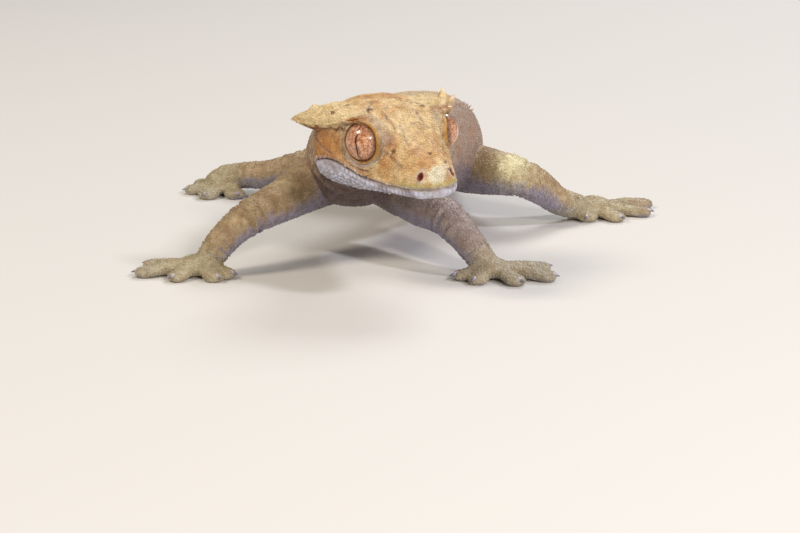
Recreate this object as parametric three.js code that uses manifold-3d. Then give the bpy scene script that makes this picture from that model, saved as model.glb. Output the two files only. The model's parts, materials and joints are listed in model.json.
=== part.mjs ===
// A life-size crested gecko, standing with its head turned to its left, as a museum model.
// Millimetres. +x is the animal's left, +y runs toward its tail, +z is up and the floor is z = 0.
// The trunk lies along y with the shoulders near y = 0; the finished group is centred on its box.
import * as THREE from "three";
import { mergeVertices } from "three/addons/utils/BufferGeometryUtils.js";
import Module from "manifold-3d";

const wasm = await Module();
wasm.setup();

const GAP = 0.3; // clear space between two nodes that meet
const V = (x, y, z) => new THREE.Vector3(x, y, z);
const { degToRad, lerp, clamp, smoothstep } = THREE.MathUtils;

// Colours of the finishes, as sRGB hex.
const COLOURS = { skin: 0xc9a06a, pale: 0xc9bfc0, eye: 0xb4714f };

// Head sizes, in the head's own frame: x to the animal's left, y back from the snout, z up.
const HEAD = {
  snout: V(28.4, -27.8, 19.9),
  yaw: 48,
  pitch: 7,
  roll: 3,
  eye: V(7.2, 14.0, 6.0),
  eyeRadius: 3.6,
  eyeTurnForward: 24,
  eyeTurnUp: 6,
  nostril: V(3.0, 1.2, 3.1),
  ear: V(11.4, 26.2, 2.6),
};

// Head stations: distance back, half width, crown height, chin height, height of the widest line,
// and how square the crown is.
const HEAD_STATIONS = [
  { y: 0.0, w: 2.1, top: 2.9, bot: -1.3, wide: 0.6, square: 2.2 },
  { y: 0.9, w: 3.6, top: 4.1, bot: -2.1, wide: 0.6, square: 2.3 },
  { y: 2.6, w: 4.7, top: 5.0, bot: -2.6, wide: 0.6, square: 2.4 },
  { y: 5.5, w: 5.9, top: 5.9, bot: -3.0, wide: 0.5, square: 2.4 },
  { y: 9.0, w: 7.2, top: 7.4, bot: -3.4, wide: 0.4, square: 2.6 },
  { y: 12.5, w: 8.8, top: 9.3, bot: -3.9, wide: 0.6, square: 3.0 },
  { y: 16.0, w: 10.3, top: 10.4, bot: -4.4, wide: 0.9, square: 3.1 },
  { y: 20.0, w: 11.7, top: 10.8, bot: -4.8, wide: 1.2, square: 3.0 },
  { y: 23.5, w: 12.1, top: 10.6, bot: -4.9, wide: 1.4, square: 2.8 },
  { y: 26.5, w: 10.9, top: 9.9, bot: -4.7, wide: 1.6, square: 2.5 },
  { y: 29.0, w: 8.4, top: 8.8, bot: -4.2, wide: 1.8, square: 2.2 },
  { y: 30.6, w: 5.6, top: 7.2, bot: -3.0, wide: 1.9, square: 2.0 },
];

// The height of the mouth's line at distances back along it: it dips, rises and turns down at its corner.
const MOUTH = [
  { y: 0, z: 0.85 },
  { y: 4, z: 0.35 },
  { y: 8, z: 0.08 },
  { y: 11, z: 0.35 },
  { y: 14, z: 1.05 },
  { y: 17, z: 1.85 },
  { y: 19.5, z: 2.0 },
  { y: 21.5, z: 1.45 },
  { y: 23.2, z: 0.75 },
];

// Lips: how far their middle lies above the mouth's line, how thick they are and half how tall.
const LIPS = {
  upper: { offset: 0.62, thick: 0.5, tall: 0.6 },
  lower: { offset: -1.2, thick: 0.5, tall: 1.15 },
};

// The crest's edge on the left side of the head, and how far its shelf stands out from the temple.
const HEAD_CREST = [
  { at: V(4.6, 7.6, 5.4), r: 0.3 },
  { at: V(6.4, 10.4, 8.3), r: 0.8 },
  { at: V(8.2, 13.0, 9.9), r: 1.1 },
  { at: V(9.7, 16.0, 10.2), r: 1.3 },
  { at: V(11.1, 19.4, 9.5), r: 1.6 },
  { at: V(12.5, 23.0, 8.8), r: 1.8 },
  { at: V(13.5, 26.0, 8.2), r: 1.4 },
  { at: V(14.2, 28.6, 7.7), r: 0.5 },
];

// Trunk and tail: the middle of each station, its half width and its half height.
const SPINE = [
  { at: V(8.2, -9.6, 25.4), w: 7.4, h: 6.3 },
  { at: V(5.0, -5.4, 22.8), w: 7.5, h: 7.0 },
  { at: V(2.0, 0.2, 18.9), w: 9.0, h: 8.9 },
  { at: V(1.2, 7.0, 18.3), w: 10.3, h: 8.6 },
  { at: V(2.6, 17.0, 17.2), w: 11.3, h: 9.7 },
  { at: V(3.6, 28.0, 16.4), w: 11.0, h: 10.3 },
  { at: V(4.0, 38.0, 14.6), w: 10.0, h: 10.2 },
  { at: V(3.2, 46.5, 12.0), w: 8.2, h: 8.4 },
  { at: V(1.4, 53.5, 9.3), w: 6.1, h: 6.2 },
  { at: V(-0.9, 60.0, 6.7), w: 4.7, h: 4.7 },
  { at: V(-4.3, 68.0, 4.4), w: 3.8, h: 3.8 },
  { at: V(-9.2, 78.5, 2.95), w: 3.1, h: 3.05 },
  { at: V(-15.0, 91.0, 2.3), w: 2.55, h: 2.5 },
  { at: V(-21.6, 102.5, 1.8), w: 2.1, h: 2.0 },
  { at: V(-28.6, 112.0, 1.3), w: 1.8, h: 1.5 },
  { at: V(-34.4, 118.4, 0.9), w: 2.5, h: 1.1 },
  { at: V(-38.2, 122.2, 0.8), w: 1.6, h: 0.95 },
];

// Where the axial body is parted, in stations.
const PART_AT = { neck: 1.0, shoulders: 1.6, waist: 4.6, vent: 8.4, tailMiddle: 11.0, tailTip: 13.4 };

// Each limb: the line of its middle from inside the body to the palm, with half thickness at each point,
// and the share of its length at which it leaves the body, bends and meets the hand or foot.
const LIMBS = {
  arm_right: {
    line: [
      { at: V(-0.5, 4.0, 15.6), r: 5.0 },
      { at: V(-5.0, -1.6, 14.2), r: 4.9 },
      { at: V(-8.6, -8.4, 12.0), r: 3.9 },
      { at: V(-12.0, -15.0, 10.1), r: 3.25 },
      { at: V(-15.0, -19.2, 7.4), r: 2.9 },
      { at: V(-16.8, -21.6, 4.6), r: 2.6 },
      { at: V(-18.2, -22.2, 2.4), r: 2.3 },
    ],
    cuts: [0.3, 0.6, 0.87],
    names: ["upper_arm_right", "forearm_right", "hand_right"],
  },
  arm_left: {
    line: [
      { at: V(2.5, 6.0, 14.0), r: 4.0 },
      { at: V(10.0, 4.4, 11.6), r: 3.9 },
      { at: V(16.0, 0.6, 10.2), r: 3.5 },
      { at: V(21.2, -2.6, 9.6), r: 3.3 },
      { at: V(25.6, -5.2, 6.9), r: 2.9 },
      { at: V(28.4, -6.4, 4.4), r: 2.6 },
      { at: V(30.2, -6.4, 2.4), r: 2.3 },
    ],
    cuts: [0.34, 0.6, 0.87],
    names: ["upper_arm_left", "forearm_left", "hand_left"],
  },
  leg_left: {
    line: [
      { at: V(3.0, 46.5, 10.6), r: 4.9 },
      { at: V(10.0, 42.0, 9.6), r: 5.1 },
      { at: V(17.4, 36.4, 10.2), r: 4.5 },
      { at: V(23.6, 33.2, 10.4), r: 3.8 },
      { at: V(27.6, 35.8, 7.8), r: 3.2 },
      { at: V(30.0, 39.8, 4.6), r: 2.7 },
      { at: V(32.4, 44.6, 2.7), r: 2.5 },
    ],
    cuts: [0.33, 0.62, 0.88],
    names: ["thigh_left", "shin_left", "foot_left"],
  },
  leg_right: {
    line: [
      { at: V(0.5, 48.0, 10.6), r: 4.9 },
      { at: V(-8.0, 47.4, 12.0), r: 5.0 },
      { at: V(-17.0, 45.4, 9.6), r: 4.3 },
      { at: V(-25.5, 43.0, 6.7), r: 3.6 },
      { at: V(-32.5, 42.6, 4.9), r: 3.0 },
      { at: V(-38.6, 43.2, 4.2), r: 2.7 },
      { at: V(-43.4, 44.0, 3.3), r: 2.6 },
    ],
    cuts: [0.27, 0.56, 0.86],
    names: ["thigh_right", "shin_right", "foot_right"],
  },
};

// Hands and feet: the palm's middle and half sizes, and the tip of each digit's pad on the floor.
const PALMS = {
  hand_right: {
    palm: V(-19.8, -22.7, 1.8),
    size: [3.9, 3.4, 2.0],
    tips: [V(-12.6, -23.4, 0), V(-14, -26.8, 0), V(-21.8, -29.6, 0), V(-29.6, -28, 0), V(-30.6, -21.6, 0)],
    pad: 2.0,
  },
  hand_left: {
    palm: V(31.2, -6.4, 1.8),
    size: [3.8, 3.3, 2.0],
    tips: [V(25.6, -10.6, 0), V(30.0, -12.9, 0), V(38.0, -10.8, 0), V(42.6, -5.0, 0), V(39.4, 1.6, 0)],
    pad: 2.0,
  },
  foot_left: {
    palm: V(34.6, 48.6, 1.9),
    size: [3.9, 4.1, 2.1],
    tips: [V(35.2, 42.2, 0), V(41.6, 44.8, 0), V(45.4, 52.4, 0), V(43.0, 60.6, 0), V(31.4, 58.2, 0)],
    pad: 2.2,
  },
  foot_right: {
    palm: V(-44.2, 44.2, 2.4),
    size: [3.9, 3.7, 2.5],
    tips: [V(-38.4, 38.0, 0), V(-44.8, 35.4, 0), V(-50.6, 39.4, 0), V(-51.4, 47.0, 0), V(-44.8, 53.4, 0)],
    pad: 2.2,
  },
};

// Crest spines: how far apart along their row, and their height and root.
const SPINES = {
  head: { count: 15, height: 1.5, root: 0.62 },
  back: { spacing: 2.3, height: 1.0, root: 0.55 },
};

// A seeded run of numbers from 0 to 1, so that small variations are the same each time.
function seeded(seed) {
  let state = seed;
  return () => {
    state = (state * 1664525 + 1013904223) % 4294967296;
    return state / 4294967296;
  };
}

// Turns a closed three.js geometry into a solid.
function solid(geometry) {
  const bare = geometry.clone();
  bare.deleteAttribute("normal");
  bare.deleteAttribute("uv");
  const merged = mergeVertices(bare, 1e-4);
  return new wasm.Manifold(
    new wasm.Mesh({
      numProp: 3,
      vertProperties: new Float32Array(merged.attributes.position.array),
      triVerts: new Uint32Array(merged.index.array),
    }),
  );
}

// Joins solids into one, and keeps the largest closed piece.
function fuse(solids) {
  return largest(solids.reduce((sum, next) => sum.add(next)));
}

function largest(joined) {
  return joined.decompose().reduce((a, b) => (a.volume() > b.volume() ? a : b));
}

// Cuts away what lies below the floor, which leaves a small flat.
const standOnFloor = (body) => body.trimByPlane([0, 0, 1], 0);

// A closed skin over a run of rings with equal counts of points, with a fan over each end.
function loft(rings) {
  const count = rings[0].length;
  const points = rings.flat();
  const faces = [];
  for (let r = 0; r + 1 < rings.length; r += 1) {
    for (let i = 0; i < count; i += 1) {
      const j = (i + 1) % count;
      const [a, b, c, d] = [r * count + i, r * count + j, (r + 1) * count + j, (r + 1) * count + i];
      faces.push(a, b, c, a, c, d);
    }
  }
  const middle = (ring) => ring.reduce((sum, p) => sum.add(p), V(0, 0, 0)).divideScalar(count);
  const last = (rings.length - 1) * count;
  points.push(middle(rings[0]), middle(rings[rings.length - 1]));
  for (let i = 0; i < count; i += 1) {
    const j = (i + 1) % count;
    faces.push(points.length - 2, j, i, points.length - 1, last + i, last + j);
  }
  const geometry = new THREE.BufferGeometry().setFromPoints(points).setIndex(faces);
  const made = solid(geometry);
  if (made.volume() > 0) return made;
  for (let f = 0; f < faces.length; f += 3) [faces[f + 1], faces[f + 2]] = [faces[f + 2], faces[f + 1]];
  return solid(new THREE.BufferGeometry().setFromPoints(points).setIndex(faces));
}

// Smooth value at a place between stations, by a Catmull-Rom run through them.
function smooth(values, place) {
  const i = clamp(Math.floor(place), 0, values.length - 2);
  const t = place - i;
  const [a, b, c, d] = [-1, 0, 1, 2].map((k) => values[clamp(i + k, 0, values.length - 1)]);
  const bend = [2 * b, c - a, 2 * a - 5 * b + 4 * c - d, 3 * b - a - 3 * c + d];
  return 0.5 * (bend[0] + bend[1] * t + bend[2] * t * t + bend[3] * t ** 3);
}

function smoothPoint(points, place) {
  return V(
    smooth(points.map((p) => p.x), place),
    smooth(points.map((p) => p.y), place),
    smooth(points.map((p) => p.z), place),
  );
}

// The frame across a line at a place: its middle, the way to its left and the way up.
function across(points, place) {
  const step = 0.02;
  const along = smoothPoint(points, Math.min(place + step, points.length - 1))
    .sub(smoothPoint(points, Math.max(place - step, 0)))
    .normalize();
  const side = V(0, 0, 1).cross(along).normalize().negate();
  const up = along.clone().cross(side).normalize().negate();
  return { middle: smoothPoint(points, place), side, up, along };
}

// A ring of points round a frame: half width, half height and how square it is.
function ring(frame, w, h, sides, square = 2) {
  return Array.from({ length: sides }, (_, i) => {
    const angle = (2 * Math.PI * (i + 0.5)) / sides;
    const power = 2 / square;
    const c = Math.sign(Math.cos(angle)) * Math.abs(Math.cos(angle)) ** power;
    const s = Math.sign(Math.sin(angle)) * Math.abs(Math.sin(angle)) ** power;
    return frame.middle.clone().addScaledVector(frame.side, w * c).addScaledVector(frame.up, h * s);
  });
}

// A rounded end: rings that shrink along a quarter circle.
function domed(frame, w, h, sides, square) {
  return [0.55, 0.88].map((share) => {
    const scale = Math.sqrt(1 - share * share);
    const middle = frame.middle.clone().addScaledVector(frame.along, share * Math.min(w, h));
    return ring({ ...frame, middle }, w * scale, h * scale, sides, square);
  });
}

// A bent body of varying thickness between two places on a line of stations. Its first ring can be
// moved along by a gap, so that it faces the end of the body before it, and it can be made thicker.
function limbPiece(stations, from, to, sides, steps, options = {}) {
  const { square = 2.1, roundEnd = false, gap = 0, grow = 0 } = options;
  const points = stations.map((s) => s.at);
  const widths = stations.map((s) => (s.w ?? s.r) + grow);
  const heights = stations.map((s) => (s.h ?? s.r) + grow);
  const at = (place, shift) => {
    const frame = across(points, place);
    frame.middle.addScaledVector(frame.along, shift);
    return ring(frame, smooth(widths, place), smooth(heights, place), sides, square);
  };
  const rings = [];
  for (let k = 0; k <= steps; k += 1) {
    const shift = k === 0 ? gap - grow : k === steps ? grow : 0;
    rings.push(at(lerp(from, to, k / steps), shift));
  }
  if (roundEnd) {
    rings.push(...domed(across(points, to), smooth(widths, to), smooth(heights, to), sides, square));
  }
  return loft(rings);
}

// The place on a line of stations that lies a given distance further on.
function furtherOn(stations, place, distance) {
  const points = stations.map((s) => s.at);
  const speed = smoothPoint(points, place + 0.01).distanceTo(smoothPoint(points, place - 0.01)) / 0.02;
  return place + distance / speed;
}

function ellipsoid(at, [x, y, z], sides = 14, rows = 9) {
  const ball = new THREE.SphereGeometry(1, sides, rows);
  return solid(ball.scale(x, y, z).translate(at.x, at.y, at.z));
}

// A tapered spine with its root sunk in the skin.
function spine(root, direction, height, radius, sunk) {
  const cone = new THREE.ConeGeometry(radius, height + sunk, 5);
  cone.translate(0, (height + sunk) / 2 - sunk, 0);
  cone.applyQuaternion(new THREE.Quaternion().setFromUnitVectors(V(0, 1, 0), direction.clone().normalize()));
  return solid(cone.translate(root.x, root.y, root.z));
}

// Head

const headTurn = new THREE.Matrix4()
  .makeRotationZ(degToRad(HEAD.yaw))
  .multiply(new THREE.Matrix4().makeRotationX(degToRad(HEAD.pitch)))
  .multiply(new THREE.Matrix4().makeRotationY(degToRad(-HEAD.roll)));
const headPlace = new THREE.Matrix4().makeTranslation(HEAD.snout).multiply(headTurn);
const inHead = (p) => p.clone().applyMatrix4(headPlace);

function headStation(y) {
  const ys = HEAD_STATIONS.map((s) => s.y);
  let i = 0;
  while (i < ys.length - 2 && y > ys[i + 1]) i += 1;
  const place = i + clamp((y - ys[i]) / (ys[i + 1] - ys[i]), 0, 1);
  const at = (key) => smooth(HEAD_STATIONS.map((s) => s[key]), place);
  return { w: at("w"), top: at("top"), bot: at("bot"), wide: at("wide"), square: at("square") };
}

// Half width of the head at a distance back and a height.
function headHalfWidth(y, z) {
  const s = headStation(y);
  const reach = z > s.wide ? (z - s.wide) / (s.top - s.wide) : (s.wide - z) / (s.wide - s.bot);
  const square = z > s.wide ? s.square : 2.2;
  return s.w * Math.max(0, 1 - clamp(reach, 0, 1) ** square) ** (1 / square);
}

const mouthEnd = MOUTH[MOUTH.length - 1];

// Height of the mouth's line at a distance back.
function mouthHeight(y) {
  const i = clamp(MOUTH.findIndex((s) => s.y > y) - 1, 0, MOUTH.length - 2);
  const from = y >= mouthEnd.y ? MOUTH.length - 2 : i;
  const share = clamp((y - MOUTH[from].y) / (MOUTH[from + 1].y - MOUTH[from].y), 0, 1);
  return smooth(MOUTH.map((s) => s.z), from + share);
}

function headRing(y, sides) {
  const s = headStation(y);
  return Array.from({ length: sides }, (_, i) => {
    const angle = (2 * Math.PI * (i + 0.5)) / sides;
    const [c, t] = [Math.cos(angle), Math.sin(angle)];
    const power = 2 / (t > 0 ? s.square : 2.2);
    const high = t > 0 ? s.top - s.wide : s.wide - s.bot;
    return V(
      s.w * Math.sign(c) * Math.abs(c) ** power,
      y,
      s.wide + high * Math.sign(t) * Math.abs(t) ** power,
    );
  });
}

function skull() {
  const sides = 26;
  const rings = [];
  const backs = [-0.35, 0, 0.9, 2, 3.8, 6, 8.4, 10.8, 13, 15.2, 17.6, 20, 22.2, 24.2, 26, 27.8, 29.4, 30.6];
  for (const y of backs) {
    const shaped = headRing(Math.max(y, 0), sides);
    const shrink = y < 0 ? 0.55 : 1;
    rings.push(shaped.map((p) => V(p.x * shrink, y, 0.8 + (p.z - 0.8) * shrink)));
  }
  return loft(rings);
}

// The shelf that carries the crest, from over the snout to the tip behind the cheek.
function crestShelf(side) {
  const rings = [];
  const steps = 9;
  for (let k = 0; k <= steps; k += 1) {
    const place = ((HEAD_CREST.length - 1) * k) / steps;
    const edge = smoothPoint(HEAD_CREST.map((s) => s.at), place);
    const thick = smooth(HEAD_CREST.map((s) => s.r), place);
    const inner = Math.max(edge.x - 7, 0.8);
    const crown = Math.min(headStation(edge.y).top - 0.35, edge.z + 1.6);
    const section = [
      [edge.x, edge.z],
      [edge.x - 0.9, edge.z + 0.35],
      [lerp(edge.x, inner, 0.5), lerp(edge.z + 0.45, crown, 0.65)],
      [inner, crown],
      [inner, edge.z - 3.4],
      [edge.x - 1.2 - thick, edge.z - 1.6 - 0.9 * thick],
      [edge.x - 0.35, edge.z - 0.55 - 0.45 * thick],
    ];
    rings.push(section.map(([x, z]) => V(x * side, edge.y, z)));
  }
  return loft(rings);
}

function headSpines(side) {
  const random = seeded(side > 0 ? 11 : 29);
  const spines = [];
  const { count, height, root } = SPINES.head;
  for (let k = 0; k < count; k += 1) {
    const share = k / (count - 1);
    const place = lerp(1.3, HEAD_CREST.length - 1.04, share);
    const edge = smoothPoint(HEAD_CREST.map((s) => s.at), place);
    const ahead = smoothPoint(HEAD_CREST.map((s) => s.at), Math.min(place + 0.2, HEAD_CREST.length - 1));
    const along = ahead.sub(smoothPoint(HEAD_CREST.map((s) => s.at), place - 0.2)).normalize();
    const brow = Math.exp(-(((edge.y - 16) / 2.6) ** 2));
    const out = V(0.9, 0.1, 0.35 + 0.6 * brow).addScaledVector(along, 0.6 * share);
    const growing = 0.35 + 0.65 * smoothstep(share, 0, 0.22);
    const tall = height * (0.8 + 0.4 * random()) * (0.55 + 0.75 * brow) * growing;
    const from = V((edge.x - 0.35) * side, edge.y, edge.z - 0.05);
    spines.push(spine(from, V(out.x * side, out.y, out.z), tall, root, 0.9));
  }
  return spines;
}

const eyeAt = (side) => V(HEAD.eye.x * side, HEAD.eye.y, HEAD.eye.z);

// The way an eye looks, in the head's frame.
function eyeWay(side) {
  const forward = degToRad(HEAD.eyeTurnForward);
  const up = degToRad(HEAD.eyeTurnUp);
  return V(side * Math.cos(forward) * Math.cos(up), -Math.sin(forward) * Math.cos(up), Math.sin(up));
}

// The raised rim round an eye, on the mound that holds the eye.
function eyeRim(side) {
  const way = eyeWay(side);
  const level = 1.15;
  const rim = new THREE.TorusGeometry(HEAD.eyeRadius - 0.05, 0.62, 6, 18);
  rim.applyQuaternion(new THREE.Quaternion().setFromUnitVectors(V(0, 0, 1), way));
  const at = eyeAt(side).addScaledVector(way, level);
  const mound = ellipsoid(eyeAt(side), Array(3).fill(HEAD.eyeRadius + 0.75), 20, 12);
  const flat = mound.trimByPlane(way.clone().negate().toArray(), -at.dot(way));
  return flat.add(solid(rim.translate(at.x, at.y, at.z)));
}

// A lip: a flat roll on the head's surface along the mouth's line, straight across the snout's front.
function lip({ offset, thick, tall }) {
  const steps = 14;
  const front = 0.1;
  const points = [];
  for (let k = -steps; k <= steps; k += 1) {
    const share = Math.abs(k) / steps;
    const onSide = Math.max(0, (share - front) / (1 - front));
    const y = 0.1 + (mouthEnd.y - 0.4) * onSide ** 1.25;
    const z = mouthHeight(y) + offset;
    const x = (headHalfWidth(y, z) - thick * 0.45) * Math.min(share / front, 1);
    points.push(V(Math.sign(k) * x, y, z));
  }
  const rings = points.map((middle, i) => {
    const before = points[Math.max(i - 1, 0)];
    const along = points[Math.min(i + 1, points.length - 1)].clone().sub(before).normalize();
    const side = V(0, 0, 1).cross(along).normalize();
    return ring({ middle, side, up: along.clone().cross(side) }, thick, tall, 6);
  });
  return loft(rings);
}

// The thin cut that parts the jaw: along the mouth's line, then down behind its corner.
function mouthCut() {
  const half = 0.17;
  const line = [];
  for (let y = -3; y < mouthEnd.y - 0.7; y += 1.4) line.push([y, mouthHeight(Math.max(y, 0))]);
  line.push([mouthEnd.y, mouthEnd.z]);
  const upper = line.map(([y, z]) => [y, z + half]);
  const lower = line.map(([y, z]) => [y, z - half]).reverse();
  const corner = mouthEnd.y;
  const down = [[corner + 2.4, -1.6], [corner + 3.2, -9], [corner + 2.8, -9], [corner + 2.0, -1.7]];
  const outline = [...upper, ...down, ...lower];
  const shape = new THREE.Shape(outline.map(([y, z]) => new THREE.Vector2(y, z)));
  const band = new THREE.ExtrudeGeometry(shape, { depth: 40, bevelEnabled: false });
  band.applyMatrix4(new THREE.Matrix4().makeBasis(V(0, 1, 0), V(0, 0, 1), V(1, 0, 0)));
  return solid(band.translate(-20, 0, 0));
}

// The whole head in its own frame, with the start of the neck turned into that frame.
function wholeHead() {
  const neckStart = limbPiece(SPINE, 0.15, PART_AT.neck, 24, 3, { square: 2.2 });
  const intoHead = headPlace.clone().invert();
  const stub = neckStart.transform(intoHead.toArray());
  const pieces = [skull(), stub];
  for (const side of [1, -1]) pieces.push(crestShelf(side), eyeRim(side), ...headSpines(side));
  pieces.push(lip(LIPS.upper), lip(LIPS.lower));
  let head = fuse(pieces);
  for (const side of [1, -1]) {
    head = head.subtract(ellipsoid(eyeAt(side), Array(3).fill(HEAD.eyeRadius + GAP), 16, 10));
    const nostril = V(HEAD.nostril.x * side, HEAD.nostril.y, HEAD.nostril.z);
    head = head.subtract(ellipsoid(nostril, [0.95, 0.62, 0.5], 8, 6));
    const ear = V((headHalfWidth(HEAD.ear.y, HEAD.ear.z) - 0.1) * side, HEAD.ear.y, HEAD.ear.z);
    head = head.subtract(ellipsoid(ear, [1.3, 0.75, 1.35], 10, 8));
  }
  return head;
}

// Trunk and tail

const lastStation = SPINE.length - 1;

// Crest spines along both sides of the back, between two places.
function backSpines(from, to, seed) {
  const random = seeded(seed);
  const { spacing, height, root: radius } = SPINES.back;
  const spines = [];
  for (const side of [1, -1]) {
    let place = from;
    while (place < to) {
      const points = SPINE.map((s) => s.at);
      const frame = across(points, place);
      const w = smooth(SPINE.map((s) => s.w), place);
      const h = smooth(SPINE.map((s) => s.h), place);
      const angle = degToRad(50);
      const [c, t] = [side * Math.cos(angle), Math.sin(angle)];
      const out = frame.side.clone().multiplyScalar(c).addScaledVector(frame.up, t);
      const root = frame.middle.clone()
        .addScaledVector(frame.side, w * c * 0.985)
        .addScaledVector(frame.up, h * t * 0.985);
      out.addScaledVector(frame.along, 0.45);
      spines.push(spine(root, out, height * (0.8 + 0.4 * random()), radius, 0.8));
      place = furtherOn(SPINE, place, spacing * (0.9 + 0.2 * random()));
    }
  }
  return spines;
}

// Limbs

const limbPlace = (limb, share) => share * (limb.line.length - 1);

// The start of a limb, which belongs to the trunk.
function stump(limb, grow = 0) {
  return limbPiece(limb.line, 0, limbPlace(limb, limb.cuts[0]), 14, 4, { grow });
}

function digit(foot, tip) {
  const { palm, pad } = foot;
  const from = V(palm.x, palm.y, 1.5);
  const reach = V(tip.x - palm.x, tip.y - palm.y, 0);
  const long = reach.length();
  const on = (share, z) => V(palm.x + reach.x * share, palm.y + reach.y * share, z);
  const start = clamp(1 - 3.4 * pad / long, 0.12, 0.6);
  const line = [
    { at: from, w: 1.9, h: 1.3 },
    { at: on(start, 1.55), w: 1.35, h: 1.2 },
    { at: on(lerp(start, 1, 0.42), 1.25), w: 0.78 * pad, h: 1.1 },
    { at: on(1 - 0.75 * pad / long, 0.85), w: pad, h: 1.05 },
    { at: on(1 - 0.3 * pad / long, 0.8), w: 0.86 * pad, h: 0.98 },
  ];
  const body = limbPiece(line, 0, line.length - 1, 7, 4, { square: 2.2, roundEnd: true });
  const way = reach.clone().normalize();
  const claw = spine(on(1 - 0.1 * pad / long, 1.15), V(way.x, way.y, -0.42), 1.5, 0.48, 0.9);
  return [body, claw];
}

function palmNode(name, limb) {
  const foot = PALMS[name];
  const [, bend, wrist] = limb.cuts.map((share) => limbPlace(limb, share));
  const pieces = [
    ellipsoid(foot.palm, foot.size, 12, 7),
    limbPiece(limb.line, wrist, limb.line.length - 1, 10, 2, { gap: GAP }),
  ];
  for (const tip of foot.tips) pieces.push(...digit(foot, tip));
  const forearm = limbPiece(limb.line, bend, wrist, 14, 5, { grow: GAP });
  return standOnFloor(fuse(pieces).subtract(forearm));
}

// The finished group

const materials = {
  skin: new THREE.MeshStandardMaterial({ color: COLOURS.skin, roughness: 0.62, metalness: 0 }),
  pale: new THREE.MeshStandardMaterial({ color: COLOURS.pale, roughness: 0.55, metalness: 0 }),
  eye: new THREE.MeshStandardMaterial({ color: COLOURS.eye, roughness: 0.12, metalness: 0 }),
};

const gecko = new THREE.Group();

function add(name, body, material = materials.skin) {
  const { vertProperties, triVerts } = body.getMesh();
  const geometry = new THREE.BufferGeometry()
    .setAttribute("position", new THREE.BufferAttribute(new Float32Array(vertProperties), 3))
    .setIndex(new THREE.BufferAttribute(new Uint32Array(triVerts), 1));
  geometry.computeVertexNormals();
  const mesh = new THREE.Mesh(geometry, material);
  mesh.name = name;
  gecko.add(mesh);
  return mesh;
}

const parted = wholeHead().subtract(mouthCut()).decompose().sort((a, b) => b.volume() - a.volume());
add("head", parted[0].transform(headPlace.toArray()));
add("jaw", parted[1].transform(headPlace.toArray()), materials.pale);
for (const [name, side] of [["eye_left", 1], ["eye_right", -1]]) {
  const ball = ellipsoid(eyeAt(side), Array(3).fill(HEAD.eyeRadius), 16, 10);
  add(name, ball.transform(headPlace.toArray()), materials.eye);
}

const shoulderPlane = across(SPINE.map((s) => s.at), PART_AT.shoulders);
const shoulderWay = shoulderPlane.along.toArray();
const shoulderAt = shoulderPlane.middle.dot(shoulderPlane.along);
const nape = limbPiece(SPINE, PART_AT.neck, PART_AT.shoulders, 24, 4, { square: 2.2, gap: GAP });
const neck = fuse([
  nape.trimByPlane(shoulderWay.map((v) => -v), -shoulderAt),
  ...backSpines(PART_AT.neck + 0.12, PART_AT.shoulders - 0.45, 5),
]);
add("neck", neck.subtract(stump(LIMBS.arm_left, GAP)).subtract(stump(LIMBS.arm_right, GAP)));
const chest = limbPiece(SPINE, PART_AT.shoulders, PART_AT.waist, 26, 9, { square: 2.2, gap: GAP });
add("torso_front", fuse([
  chest.trimByPlane(shoulderWay, shoulderAt + GAP),
  stump(LIMBS.arm_left),
  stump(LIMBS.arm_right),
  ...backSpines(PART_AT.shoulders + 1.0, PART_AT.waist - 0.15, 7),
]));
add("torso_rear", fuse([
  limbPiece(SPINE, PART_AT.waist, PART_AT.vent, 26, 8, { square: 2.2, gap: GAP }),
  stump(LIMBS.leg_left),
  stump(LIMBS.leg_right),
  ...backSpines(PART_AT.waist + 0.15, PART_AT.vent - 1.2, 13),
]));
add("tail_base", standOnFloor(limbPiece(SPINE, PART_AT.vent, PART_AT.tailMiddle, 16, 6, { gap: GAP })));
add("tail_middle", standOnFloor(limbPiece(SPINE, PART_AT.tailMiddle, PART_AT.tailTip, 14, 6, { gap: GAP })));
const tailEnd = limbPiece(SPINE, PART_AT.tailTip, lastStation, 12, 7, { gap: GAP, roundEnd: true });
add("tail_tip", standOnFloor(tailEnd));

for (const limb of Object.values(LIMBS)) {
  const [upper, lower, end] = limb.names;
  const [root, bend, wrist] = limb.cuts.map((share) => limbPlace(limb, share));
  add(upper, limbPiece(limb.line, root, bend, 14, 5, { gap: GAP }));
  add(lower, limbPiece(limb.line, bend, wrist, 14, 5, { gap: GAP }));
  add(end, palmNode(end, limb));
}

// The origin is the middle of the underside.
const box = new THREE.Box3().setFromObject(gecko);
const centre = box.getCenter(V(0, 0, 0));
gecko.position.set(-centre.x, -centre.y, -box.min.z);

export default gecko;
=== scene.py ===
"""Looks of a life-size crested gecko model: one skin with its grains, eyes, claws and crest spines.

Lengths are in millimetres in the part's own frame until a mesh is made, where +x is the animal's left,
+y runs toward its tail and +z is up. The head has a frame of its own: y back from the snout.
"""

from __future__ import annotations

import json
import logging
import math
from dataclasses import dataclass, field
from enum import Enum

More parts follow.
